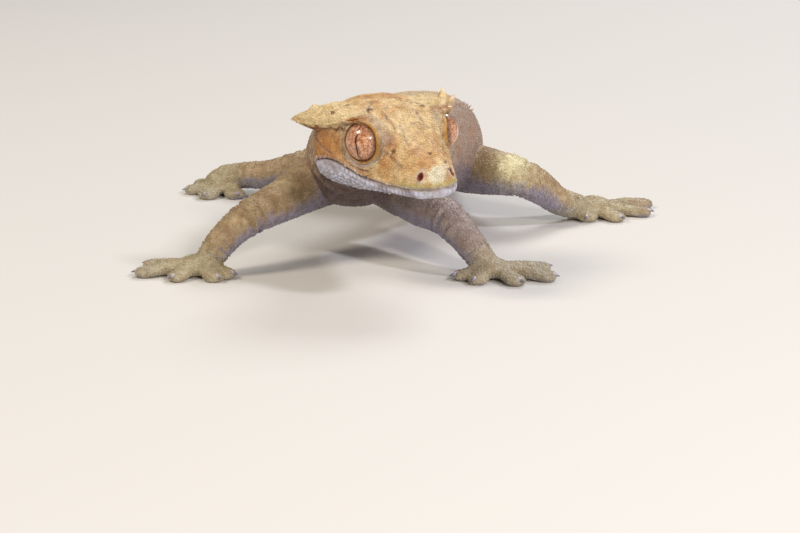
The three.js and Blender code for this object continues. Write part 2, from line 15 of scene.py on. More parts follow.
import bpy
import numpy as np
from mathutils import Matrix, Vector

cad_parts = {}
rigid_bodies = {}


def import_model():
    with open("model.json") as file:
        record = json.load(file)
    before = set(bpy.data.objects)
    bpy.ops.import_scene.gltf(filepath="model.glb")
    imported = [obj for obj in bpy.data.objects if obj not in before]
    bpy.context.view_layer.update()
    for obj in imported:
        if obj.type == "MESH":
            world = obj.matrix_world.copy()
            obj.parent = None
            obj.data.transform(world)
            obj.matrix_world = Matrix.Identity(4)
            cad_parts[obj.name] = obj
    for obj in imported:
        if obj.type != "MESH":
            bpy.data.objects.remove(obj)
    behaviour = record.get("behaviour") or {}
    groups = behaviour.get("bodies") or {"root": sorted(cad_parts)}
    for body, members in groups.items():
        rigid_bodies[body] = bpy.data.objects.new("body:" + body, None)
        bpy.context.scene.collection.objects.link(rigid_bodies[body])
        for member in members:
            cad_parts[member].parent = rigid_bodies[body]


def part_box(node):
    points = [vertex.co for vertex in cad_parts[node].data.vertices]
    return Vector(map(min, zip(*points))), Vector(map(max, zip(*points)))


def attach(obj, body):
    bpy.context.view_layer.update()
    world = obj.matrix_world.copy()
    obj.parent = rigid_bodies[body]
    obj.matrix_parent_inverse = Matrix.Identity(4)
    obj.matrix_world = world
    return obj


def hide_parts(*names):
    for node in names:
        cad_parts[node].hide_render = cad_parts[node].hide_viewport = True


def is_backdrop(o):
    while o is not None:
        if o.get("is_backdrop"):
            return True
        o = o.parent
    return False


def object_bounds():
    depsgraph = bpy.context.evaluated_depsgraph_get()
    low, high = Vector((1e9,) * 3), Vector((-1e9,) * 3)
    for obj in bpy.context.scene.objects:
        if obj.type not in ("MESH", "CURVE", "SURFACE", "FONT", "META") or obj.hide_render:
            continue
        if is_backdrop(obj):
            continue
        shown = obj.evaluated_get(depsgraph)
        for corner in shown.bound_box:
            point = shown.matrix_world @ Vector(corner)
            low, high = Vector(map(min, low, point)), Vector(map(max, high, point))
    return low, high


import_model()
CAD_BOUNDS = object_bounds()

log = logging.getLogger("gecko")
MM = 0.001
Array = np.ndarray
Triple = tuple[float, float, float]
UP = np.array([0.0, 0.0, 1.0])
SIDES = (1, -1)


# Sizes shared with the solids


@dataclass(frozen=True)
class HeadPlan:
    """Sizes of the head, in its own frame."""

    snout: Triple = (28.4, -27.8, 19.9)
    yaw: float = 48.0
    pitch: float = 7.0
    roll: float = 3.0
    eye: Triple = (7.2, 14.0, 6.0)
    eye_left: Triple = (7.15, 13.8, 6.05)
    eye_right: Triple = (-7.05, 13.6, 6.45)
    eye_radius: float = 3.7
    eye_forward: float = 24.0
    eye_up: float = 6.0
    nostril: Triple = (3.0, 1.2, 3.1)
    ear: Triple = (11.4, 26.2, 2.6)


HEAD = HeadPlan()

# Distance back, half width, crown, chin, height of the widest line, squareness of the crown.
HEAD_STATIONS = np.array([
    (0.0, 2.1, 2.9, -0.8, 0.6, 2.2), (0.9, 3.6, 4.1, -1.3, 0.6, 2.3), (2.6, 4.7, 5.0, -1.6, 0.6, 2.4),
    (5.5, 5.9, 5.9, -1.95, 0.5, 2.4), (9.0, 7.2, 7.4, -2.5, 0.4, 2.6), (12.5, 8.8, 9.3, -3.25, 0.6, 3.0),
    (16.0, 10.3, 10.4, -4.1, 0.9, 3.1), (20.0, 11.7, 10.8, -4.8, 1.2, 3.0),
    (23.5, 12.1, 10.6, -4.9, 1.4, 2.8), (26.5, 10.9, 9.9, -4.7, 1.6, 2.5),
    (29.0, 8.4, 8.8, -4.2, 1.8, 2.2), (30.6, 5.6, 7.2, -3.0, 1.9, 2.0),
])
HEAD_END = HEAD_STATIONS[-1, 0]

# The mouth's line: distance back and height.
MOUTH = np.array([
    (0, 0.85), (4, 0.35), (8, 0.08), (11, 0.35), (14, 1.05), (17, 1.85), (19.5, 2.0), (21.5, 1.45),
    (23.2, 0.75),
], float)

# The crest's edge: place and how far its shelf stands out.
CREST = np.array([
    (4.6, 7.6, 5.4, 0.3), (6.4, 10.4, 8.3, 0.8), (8.2, 13.0, 9.9, 1.1), (9.7, 16.0, 10.2, 1.3),
    (11.1, 19.4, 9.5, 1.6), (12.5, 23.0, 8.8, 1.8), (13.5, 26.0, 8.2, 1.4), (14.2, 28.6, 7.7, 0.5),
])

# Trunk and tail: middle, half width and half height.
SPINE = np.array([
    (8.2, -9.6, 25.4, 7.4, 6.3), (5.0, -5.4, 22.8, 7.5, 7.0), (2.0, 0.2, 18.9, 9.0, 8.9),
    (1.2, 7.0, 18.3, 10.3, 8.6), (2.6, 17.0, 17.2, 11.3, 9.7), (3.6, 28.0, 16.4, 11.0, 10.3),
    (4.0, 38.0, 14.6, 10.0, 10.2), (3.2, 46.5, 12.0, 8.2, 8.4), (1.4, 53.5, 9.3, 6.1, 6.2),
    (-0.9, 60.0, 6.7, 4.7, 4.7), (-4.3, 68.0, 4.4, 3.8, 3.8), (-9.2, 78.5, 2.95, 3.1, 3.05),
    (-15.0, 91.0, 2.3, 2.55, 2.5), (-21.6, 102.5, 1.8, 2.1, 2.0), (-28.6, 112.0, 1.3, 1.8, 1.5),
    (-34.4, 118.4, 0.9, 2.5, 1.1), (-38.2, 122.2, 0.8, 1.6, 0.95),
])

# Right arm, left arm, left leg and right leg: middle and half width.
LIMBS = tuple(np.array(rows) for rows in (
    [(-0.5, 4.0, 15.6, 5.0), (-5.0, -1.6, 14.2, 4.9), (-8.6, -8.4, 12.0, 3.9), (-12.0, -15.0, 10.1, 3.25),
     (-15.0, -19.2, 7.4, 2.9), (-16.8, -21.6, 4.6, 2.6), (-18.2, -22.2, 2.4, 2.3)],
    [(2.5, 6.0, 14.0, 4.0), (10.0, 4.4, 11.6, 3.9), (16.0, 0.6, 10.2, 3.5), (21.2, -2.6, 9.6, 3.3),
     (25.6, -5.2, 6.9, 2.9), (28.4, -6.4, 4.4, 2.6), (30.2, -6.4, 2.4, 2.3)],
    [(3.0, 46.5, 10.6, 4.9), (10.0, 42.0, 9.6, 5.1), (17.4, 36.4, 10.2, 4.5), (23.6, 33.2, 10.4, 3.8),
     (27.6, 35.8, 7.8, 3.2), (30.0, 39.8, 4.6, 2.7), (32.4, 44.6, 2.7, 2.5)],
    [(0.5, 48.0, 10.6, 4.9), (-8.0, 47.4, 12.0, 5.0), (-17.0, 45.4, 9.6, 4.3), (-25.5, 43.0, 6.7, 3.6),
     (-32.5, 42.6, 4.9, 3.0), (-38.6, 43.2, 4.2, 2.7), (-43.4, 44.0, 3.3, 2.6)],
))
LEFT_ARM, LEFT_LEG = 1, 2
LIMB_END = 6


@dataclass(frozen=True)
class Foot:
    """A hand or foot: the palm's middle and half sizes, the pads' tips and the pads' half width."""

    palm: Triple
    size: Triple
    tips: tuple[tuple[float, float], ...]
    pad: float

    def reach(self, tip: tuple[float, float]) -> tuple[Array, Array, float]:
        """The way from the palm to a pad's tip.

        Args:
            tip: where the pad ends, on the floor.

        Returns:
            The palm's middle on the floor, the way from it to the tip, and that way's length.
        """
        palm = np.array([self.palm[0], self.palm[1], 0])
        reach = np.array([tip[0], tip[1], 0]) - palm
        return palm, reach, float(np.linalg.norm(reach))

    def digit(self, tip: tuple[float, float]) -> Shell:
        """A finger or toe, widening to its pad.

        Args:
            tip: where its pad ends, on the floor.

        Returns:
            Its closed surface.
        """
        palm, reach, long = self.reach(tip)
        pad = self.pad
        start = min(max(1 - 3.4 * pad / long, 0.12), 0.6)
        shares = (0, start, start + (1 - start) * 0.42, 1 - 0.75 * pad / long, 1 - 0.3 * pad / long)
        heights = (1.5, 1.55, 1.25, 0.85, 0.8)
        sizes = ((1.9, 1.3), (1.35, 1.2), (0.78 * pad, 1.1), (pad, 1.05), (0.86 * pad, 0.98))
        line = [(*(palm + reach * s)[:2], z, w, h) for s, z, (w, h) in zip(shares, heights, sizes)]
        return Shell.tube(np.array(line), sides=24, steps=30, square=2.2)


# The feet, in the order of the limbs.
FEET = (
    Foot((-19.8, -22.7, 1.8), (3.9, 3.4, 2.0),
         ((-12.6, -23.4), (-14.0, -26.8), (-21.8, -29.6), (-29.6, -28.0), (-30.6, -21.6)), 2.0),
    Foot((31.2, -6.4, 1.8), (3.8, 3.3, 2.0),
         ((25.6, -10.6), (30.0, -12.9), (38.0, -10.8), (42.6, -5.0), (39.4, 1.6)), 2.0),
    Foot((34.6, 48.6, 1.9), (3.9, 4.1, 2.1),
         ((35.2, 42.2), (41.6, 44.8), (45.4, 52.4), (43.0, 60.6), (31.4, 58.2)), 2.2),
    Foot((-44.2, 44.2, 2.4), (3.9, 3.7, 2.5),
         ((-38.4, 38.0), (-44.8, 35.4), (-50.6, 39.4), (-51.4, 47.0), (-44.8, 53.4)), 2.2),
)

SKIN_NODES = (
    "head", "jaw", "neck", "torso_front", "torso_rear", "tail_base", "tail_middle", "tail_tip",
    "upper_arm_left", "forearm_left", "hand_left", "upper_arm_right", "forearm_right", "hand_right",
    "thigh_left", "shin_left", "foot_left", "thigh_right", "shin_right", "foot_right",
)


# Curves and lofts


def smooth(values: Array, place: Array | float) -> Array:
    """Catmull-Rom values of rows of numbers at places between them.

    Args:
        values: rows of numbers, one for each station.
        place: places along the rows, from 0 to the last row.

    Returns:
        One row of numbers for each place.
    """
    place = np.atleast_1d(np.asarray(place, float))
    last = len(values) - 1
    i = np.clip(np.floor(place).astype(int), 0, last - 1)
    t = (place - i)[:, None]
    a, b, c, d = (values[np.clip(i + k, 0, last)] for k in (-1, 0, 1, 2))
    return 0.5 * (2 * b + (c - a) * t + (2 * a - 5 * b + 4 * c - d) * t**2 + (3 * b - a - 3 * c + d) * t**3)


def unit(v: Array) -> Array:
    """Rows of vectors made one long."""
    return v / np.maximum(np.linalg.norm(v, axis=-1, keepdims=True), 1e-12)


def circle(count: int, offset: float = 0.0) -> Array:
    """Even angles round a full turn."""
    return 2 * np.pi * (np.arange(count) + offset) / count


def frames(points: Array, place: Array) -> tuple[Array, Array, Array, Array]:
    """Middle, way to the left, way up and way along of a line.

    Args:
        points: the line's stations.
        place: places along it.

    Returns:
        Four arrays with a row for each place.
    """
    near = 0.02
    last = len(points) - 1
    along = unit(smooth(points, np.minimum(place + near, last)) - smooth(points, np.maximum(place - near, 0)))
    side = -unit(np.cross(UP, along))
    return smooth(points, place), side, unit(np.cross(side, along)), along


def turn_about(points: Array, line: Array, place: Array) -> Array:
    """The angle at which points lie round a line.

    Args:
        points: the points.
        line: the line's stations.
        place: the place on the line that each point is nearest.

    Returns:
        One angle for each point, 0 at the top.
    """
    middle, side, up, _ = frames(line[:, :3], place)
    out = points - middle
    return np.arctan2((out * side).sum(1), (out * up).sum(1))


def to_line(points: Array, line: Array, samples: int) -> tuple[Array, Array]:
    """Distance of points to a bent line.

    Args:
        points: the points.
        line: the line's stations.
        samples: at how many places the line is tried.

    Returns:
        The distances, and the place along the line that each point is nearest.
    """
    place = np.linspace(0, len(line) - 1, samples)
    gap = np.full(len(points), np.inf)
    near = np.zeros(len(points), int)
    for k, spot in enumerate(smooth(line, place)):
        distance = ((points - spot) ** 2).sum(1)
        closer = distance < gap
        gap[closer] = distance[closer]
        near[closer] = k
    return np.sqrt(gap), place[near]


def superellipse(angle: Array, square: Array | float) -> tuple[Array, Array]:
    """The edge of a rounded square.

    Args:
        angle: angles round it.
        square: how square it is, 2 for a circle.

    Returns:
        The sideways and the upward share of its half sizes at each angle.
    """
    c, s = np.cos(angle), np.sin(angle)
    power = 2.0 / square
    return np.sign(c) * np.abs(c) ** power, np.sign(s) * np.abs(s) ** power


def step(value: Array, start: float, end: float) -> Array:
    """A smooth climb from 0 at start to 1 at end."""
    t = np.clip((value - start) / (end - start), 0, 1)
    return t * t * (3 - 2 * t)


def bump(value: Array, centre: float, spread: float) -> Array:
    """A smooth hill of height one."""
    return np.exp(-(((value - centre) / spread) ** 2))


def mound(points: Array, at: Triple, spread: float | Triple) -> Array:
    """A round hill of height one about a place."""
    return np.exp(-(((points - np.array(at)) / np.array(spread)) ** 2).sum(1))


def noise(points: Array, size: float, seed: int) -> Array:
    """Smooth seeded noise.

    Args:
        points: where it is read, in millimetres.
        size: about how wide its hills are, in millimetres.
        seed: which noise it is.

    Returns:
        Values from -1 to 1.
    """
    count = 32
    table = np.random.default_rng(seed).random((count, count, count)) * 2 - 1
    place = points / size + 512
    corner = np.floor(place).astype(int)
    t = place - corner
    t = t * t * (3 - 2 * t)
    total = np.zeros(len(points))
    for offset in np.ndindex(2, 2, 2):
        share = np.prod(np.where(offset, t, 1 - t), axis=1)
        at = (corner + offset) % count
        total += share * table[at[:, 0], at[:, 1], at[:, 2]]
    return total


@dataclass
class Shell:
    """A closed surface: corner points and faces of three or four corners."""

    points: Array
    faces: list[tuple[int, ...]]

    @staticmethod
    def quads(index: Array) -> list[tuple[int, ...]]:
        """Faces between rows of numbered points.

        Args:
            index: the points' numbers, a row for each ring, where each ring is closed on itself.

        Returns:
            The faces, of four corners each.
        """
        turned = np.roll(index, -1, axis=1)
        corners = np.stack([index[:-1], turned[:-1], turned[1:], index[1:]], axis=-1)
        return [tuple(map(int, q)) for q in corners.reshape(-1, 4)]

    @staticmethod
    def loft(rings: Array) -> Shell:
        """A closed skin over a run of rings, with a fan over each end.

        Args:
            rings: the rings' points.

        Returns:
            The closed surface.
        """
        count, sides = rings.shape[:2]
        index = np.arange(count * sides).reshape(count, sides)
        start, end = count * sides, count * sides + 1
        fans = [(start, int(b), int(a)) for a, b in zip(index[0], np.roll(index[0], -1))]
        fans += [(end, int(a), int(b)) for a, b in zip(index[-1], np.roll(index[-1], -1))]
        points = np.vstack([rings.reshape(-1, 3), rings[0].mean(0), rings[-1].mean(0)])
        return Shell(points, Shell.quads(index) + fans)

    @staticmethod
    def wheel(rings: Array) -> Shell:
        """A closed skin over rings that lead back to the first."""
        index = np.arange(rings.shape[0] * rings.shape[1]).reshape(rings.shape[:2])
        return Shell(rings.reshape(-1, 3), Shell.quads(np.vstack([index, index[:1]])))

    @staticmethod
    def joined(shells: list[Shell]) -> Shell:
        """Several shells as one.

        Args:
            shells: the shells.

        Returns:
            One list of points and faces.
        """
        faces, start = [], 0
        for shell in shells:
            faces += [tuple(i + start for i in face) for face in shell.faces]
            start += len(shell.points)
        return Shell(np.vstack([shell.points for shell in shells]), faces)

    @staticmethod
    def tube(line: Array, start: float = 0.0, sides: int = 40, steps: int = 60, square: float = 2.1) -> Shell:
        """A bent body of varying thickness with rounded ends.

        Args:
            line: rows of a middle and one or two half sizes.
            start: the place on the line where the body begins.
            sides: how many points go round it.
            steps: how many rings go along it.
            square: how square its section is, 2 for a round one.

        Returns:
            Its closed surface.
        """
        place = np.linspace(start, len(line) - 1, steps)
        middle, side, up, along = frames(line[:, :3], place)
        size = smooth(line[:, 3:], place)
        ends = (0.3, 0.55, 0.75, 0.88, 0.97)
        blunt = [(0, -s) for s in reversed(ends)] + [(k, 0.0) for k in range(steps)] + [(-1, s) for s in ends]
        c, s = superellipse(circle(sides, 0.5), square)
        rings = []
        for k, share in blunt:
            scale = math.sqrt(1 - share * share)
            centre = middle[k] + along[k] * share * size[k].min()
            across, high = np.outer(c * size[k, 0] * scale, side[k]), np.outer(s * size[k, -1] * scale, up[k])
            rings.append(centre + across + high)
        return Shell.loft(np.array(rings))

    @staticmethod
    def ball(at: Array, size: Array, sides: int = 32) -> Shell:
        """An ellipsoid.

        Args:
            at: its middle.
            size: its three half sizes.
            sides: how many points go round it.

        Returns:
            Its closed surface.
        """
        rings = []
        angle = circle(sides)
        for lift in np.linspace(-0.97, 0.97, sides // 2):
            flat = math.cos(lift * math.pi / 2)
            across, onward = size[0] * flat * np.cos(angle), size[1] * flat * np.sin(angle)
            high = np.full(sides, size[2] * math.sin(lift * math.pi / 2))
            rings.append(np.stack([across, onward, high], -1) + at)
        return Shell.loft(np.array(rings))


# The head's frame


def turn(degrees: float, axis: str) -> Array:
    """A turn about one axis.

    Args:
        degrees: how far.
        axis: x, y or z.

    Returns:
        The matrix of the turn.
    """
    c, s = math.cos(math.radians(degrees)), math.sin(math.radians(degrees))
    return np.array({"x": [(1, 0, 0), (0, c, -s), (0, s, c)], "y": [(c, 0, s), (0, 1, 0), (-s, 0, c)],
                     "z": [(c, -s, 0), (s, c, 0), (0, 0, 1)]}[axis])


HEAD_TURN = turn(HEAD.yaw, "z") @ turn(HEAD.pitch, "x") @ turn(-HEAD.roll, "y")


def from_head(points: Array) -> Array:
    """Points of the head's frame in the part's frame."""
    return points @ HEAD_TURN.T + np.array(HEAD.snout)


def to_head(points: Array) -> Array:
    """Points of the part's frame in the head's frame."""
    return (points - np.array(HEAD.snout)) @ HEAD_TURN


def head_station(y: Array | float) -> Array:
    """Half width, crown, chin, widest height and squareness at distances back."""
    return smooth(HEAD_STATIONS[:, 1:], np.interp(y, HEAD_STATIONS[:, 0], np.arange(len(HEAD_STATIONS))))


def mouth_height(y: Array | float) -> Array:
    """Height of the mouth's line at distances back."""
    return smooth(MOUTH[:, 1:], np.interp(y, MOUTH[:, 0], np.arange(len(MOUTH))))[:, 0]


@dataclass(frozen=True)
class Skull:
    """The head without its lids and neck: the skull and its two crest shelves."""

    sides: int = 120
    steps: int = 130
    shelf_steps: int = 50
    # Rings that round the snout off: distance back and share of the first section.
    nose: tuple[tuple[float, float], ...] = ((-0.35, 0.55), (-0.2, 0.85))
    # Height that those rings shrink toward.
    nose_height: float = 0.8

    def form(self) -> Shell:
        """The skull's closed surface."""
        shrinks = [share for _, share in self.nose] + [1.0] * self.steps
        y = np.concatenate([[at for at, _ in self.nose], np.linspace(0, HEAD_END, self.steps)])
        angle = circle(self.sides, 0.5)
        rings = []
        for at, shrink, (w, top, bot, wide, square) in zip(y, shrinks, head_station(np.maximum(y, 0))):
            c, s = superellipse(angle, np.where(np.sin(angle) > 0, square, 2.2))
            high = np.where(s > 0, top - wide, wide - bot)
            z = self.nose_height + (wide + high * s - self.nose_height) * shrink
            rings.append(np.stack([w * c * shrink, np.full(self.sides, at), z], -1))
        return Shell.loft(from_head(np.array(rings)))

    def shelf(self, side: int) -> Shell:
        """The shelf that carries the crest on one side.

        Args:
            side: 1 for the left and -1 for the right.

        Returns:
            Its closed surface.
        """
        rings = []
        for x, y, z, thick in smooth(CREST, np.linspace(0, len(CREST) - 1, self.shelf_steps)):
            inner = max(x - 7, 0.8)
            crown = min(head_station(y)[0, 1] - 0.35, z + 1.6)
            section = np.array([
                (x - 0.1, z - 0.15), (x - 1.1, z + 0.25),
                (0.5 * (x + inner), z + 0.45 + 0.65 * (crown - z - 0.45)),
                (inner, crown), (inner, z - 3.4), (x - 1.2 - thick, z - 1.6 - 0.9 * thick),
                (x - 0.15, z - 0.8 - 0.6 * thick),
            ])
            rings.append(np.stack([section[:, 0] * side, np.full(len(section), y), section[:, 1]], -1))
        return Shell.loft(from_head(np.array(rings)))


@dataclass(frozen=True)
class Eye:
    """One eye: its place and directions in the head's frame, its ball and the forms round it."""

    name: str
    side: int
    level: float = 1.15
    rim: float = 0.62
    mound_width: float = 0.75
    ball_sides: int = 128

    @property
    def centre(self) -> Array:
        """The middle of the eyeball."""
        return np.array(HEAD.eye_left if self.side > 0 else HEAD.eye_right)

    @property
    def way(self) -> Array:
        """The way that the eye looks."""
        forward, up = math.radians(HEAD.eye_forward), math.radians(HEAD.eye_up)
        flat = math.cos(up)
        return np.array([self.side * math.cos(forward) * flat, -math.sin(forward) * flat, math.sin(up)])

    @property
    def up(self) -> Array:
        """The way up the pupil."""
        return unit(UP - self.way * self.way[2])

    @property
    def back(self) -> Array:
        """The way to the eye's rear corner."""
        return np.cross(self.up, self.way) * self.side

    def out(self, angle: float) -> Array:
        """The way from the middle toward the lid at an angle from the rear corner."""
        return self.back * math.cos(angle) + self.up * math.sin(angle)

    def read(self, head: Array) -> tuple[Array, Array, Array, Array]:
        """Where points lie about the eye.

        Args:
            head: points in the head's frame.

        Returns:
            Their distance from its middle to the rear, upward and outward, and their distance from its axis.
        """
        out = head - self.centre
        back, up = out @ self.back, out @ self.up
        return back, up, out @ self.way, np.hypot(back, up)

    def in_reach(self, depth: Array) -> Array:
        """Whether points, by their distance outward, are among those that the lids cover."""
        return (depth > -1.0) & (depth < 4.5)

    def rim_shell(self) -> Shell:
        """The raised rim round the eye."""
        middle = self.centre + self.way * self.level
        angle = circle(20)
        rings = []
        for a in circle(96):
            out = self.out(a)
            ring = middle + out * (HEAD.eye_radius - 0.05)
            thick = np.outer(self.rim * np.cos(angle), out) + np.outer(self.rim * np.sin(angle), self.way)
            rings.append(ring + thick)
        return Shell.wheel(from_head(np.array(rings)))

    def mound_shell(self) -> Shell:
        """The mound that holds the eye, flat where the rim lies."""
        radius = HEAD.eye_radius + self.mound_width
        angle = circle(64)
        rings = []
        for depth in np.linspace(-radius * 0.97, self.level, 24):
            wide = math.sqrt(radius**2 - depth**2)
            middle = self.centre + self.way * depth
            across = np.outer(wide * np.cos(angle), self.back * self.side)
            rings.append(middle + across + np.outer(wide * np.sin(angle), self.up))
        return Shell.loft(from_head(np.array(rings)))

    def build(self, shift: Array, material: bpy.types.Material) -> bpy.types.Object:
        """The eyeball, which carries its own directions: to its rear corner, up and outward.

        Args:
            shift: from the part's frame to the row frame.
            material: its finish.

        Returns:
            The dressed piece.
        """
        shell = Shell.ball(np.zeros(3), np.full(3, 1.0), self.ball_sides)
        out = shell.points
        turned = out[:, :1] * self.back * self.side + out[:, 1:2] * self.up + out[:, 2:] * self.way
        placed = Shell(from_head(self.centre + turned * HEAD.eye_radius), shell.faces)
        made = to_mesh(f"eyeball_{self.name}", placed, shift)
        put_vectors(made.data, gaze=out * np.array([self.side, 1, 1]))
        made.data.materials.append(material)
        made.data.shade_smooth()
        return dress(made, "eye", f"eye_{self.name}")


EYES = (Eye("left", 1), Eye("right", -1))


# Meshes


def linked(name: str, data: bpy.types.ID) -> bpy.types.Object:
    """A new object in the scene."""
    made = bpy.data.objects.new(name, data)
    bpy.context.scene.collection.objects.link(made)
    return made


def to_mesh(name: str, shell: Shell, shift: Array) -> bpy.types.Object:
    """An object from a shell, moved into the row frame and metres.

    Args:
        name: its name.
        shell: its points and faces, in the part's frame.
        shift: from the part's frame to the row frame.

    Returns:
        The object.
    """
    mesh = bpy.data.meshes.new(name)
    mesh.from_pydata(((shell.points + shift) * MM).tolist(), [], shell.faces)
    return linked(name, mesh)


def applied(obj: bpy.types.Object) -> bpy.types.Object:
    """Makes an object's modifiers part of its mesh, and takes them off.

    Args:
        obj: the object.

    Returns:
        The same object, with a plain mesh.
    """
    mesh = bpy.data.meshes.new_from_object(obj.evaluated_get(bpy.context.evaluated_depsgraph_get()))
    obj.modifiers.clear()
    old, obj.data = obj.data, mesh
    if not old.users:
        bpy.data.meshes.remove(old)
    return obj


def vectors(rows: bpy.types.bpy_prop_collection, key: str) -> Array:
    """Three numbers of each item, read at once.

    Args:
        rows: the items.
        key: the name of the numbers.

    Returns:
        A row for each item.
    """
    flat = np.empty(len(rows) * 3, np.float32)
    rows.foreach_get(key, flat)
    return flat.reshape(-1, 3)


def put(mesh: bpy.types.Mesh, kind: str, key: str, values: dict[str, Array]) -> None:
    """Writes values for each point of a mesh, by name."""
    for name, value in values.items():
        mesh.attributes.new(name, kind, "POINT").data.foreach_set(key, np.asarray(value, np.float32).ravel())


def put_vectors(mesh: bpy.types.Mesh, **values: Array) -> None:
    """Writes vectors for each point of a mesh."""
    put(mesh, "FLOAT_VECTOR", "vector", values)


def put_numbers(mesh: bpy.types.Mesh, **values: Array) -> None:
    """Writes numbers for each point of a mesh."""
    put(mesh, "FLOAT", "value", values)


def relaxed(mesh: bpy.types.Mesh, points: Array, weight: Array, rounds: int) -> Array:
    """Points drawn toward the middle of their neighbours.

    Args:
        mesh: the mesh whose edges say which points are neighbours.
        points: its points.
        weight: how far each point goes in one round, as a share.
        rounds: how often.

    Returns:
        The moved points.
    """
    ends = np.empty(len(mesh.edges) * 2, np.int32)
    mesh.edges.foreach_get("vertices", ends)
    a, b = ends.reshape(-1, 2).T
    size = len(points)
    count = np.bincount(a, minlength=size) + np.bincount(b, minlength=size)
    for _ in range(rounds):
        total = [np.bincount(a, points[b, k], size) + np.bincount(b, points[a, k], size) for k in range(3)]
        points = points + weight[:, None] * (np.stack(total, -1) / np.maximum(count, 1)[:, None] - points)
    return points


# Colours


def linear(colour: str) -> Array:
    """A hex sRGB colour as linear light."""
    value = np.array([int(colour[i:i + 2], 16) for i in (1, 3, 5)]) / 255
    return np.where(value <= 0.04045, value / 12.92, ((value + 0.055) / 1.055) ** 2.4)


def rgba(colour: str) -> tuple[float, ...]:
    """A hex colour as a shader's colour."""
    return (*linear(colour), 1.0)


class Hue(Enum):
    """Colours of the animal, and of the shade and sheen painted on it, as sRGB hex."""

    CREAM = "#ead2a2"
    SAND = "#d9b179"
    OCHRE = "#b57a3a"
    RUST = "#7d4720"
    SPOT = "#4a2210"
    LILAC = "#8d8594"
    LIP = "#c2c3d4"
    LIP_DARK = "#8f8b9b"
    # dark brown grey: painted shade under the chin, neck and chest
    THROAT = "#5c4e49"
    # the snout tip's pale colour with a painted wet sheen
    WET = "#e8e0c4"
    LIME = "#bcb06e"
    # the nostril's dark red lining, with painted shade in its opening
    NOSTRIL = "#6a120a"
    # painted shade in the mouth's groove and the ear's opening
    GROOVE = "#4a3230"
    LID = "#b98a30"
    LID_RING = "#a99c8e"
    LASH = "#b06c1c"
    TRUNK = "#ad988a"
    LIMB = "#b49f7e"
    BAND = "#977c56"
    # lavender of the limbs' undersides, dark enough to paint their shade
    UNDER = "#9493ad"
    HAND = "#b8b092"
    PAD = "#a3a497"
    PATCH = "#f3eec4"
    TAIL = "#c9a97a"


def layered(colour: Array, *layers: tuple[Hue | Array, Array | float]) -> Array:
    """Colours with others laid over them.

    Args:
        colour: a row of linear light for each point.
        layers: the colours to lay over it, in order, each with its share at each point.

    Returns:
        The colours seen.
    """
    for hue, share in layers:
        other = linear(hue.value) if isinstance(hue, Hue) else hue
        colour = colour + (other - colour) * np.clip(np.broadcast_to(share, len(colour)), 0, 1)[:, None]
    return colour


# Where things are on the body


# The jaw's pale band: distance back and the height of its lower edge.
JAW_EDGE = np.array([
    (-1, -0.7), (0, -0.75), (0.9, -0.95), (5.4, -1.45), (11.1, -2.1), (15.4, -2.45), (18.9, -2.15),
    (20.7, -1.2), (23.2, 0.3),
])


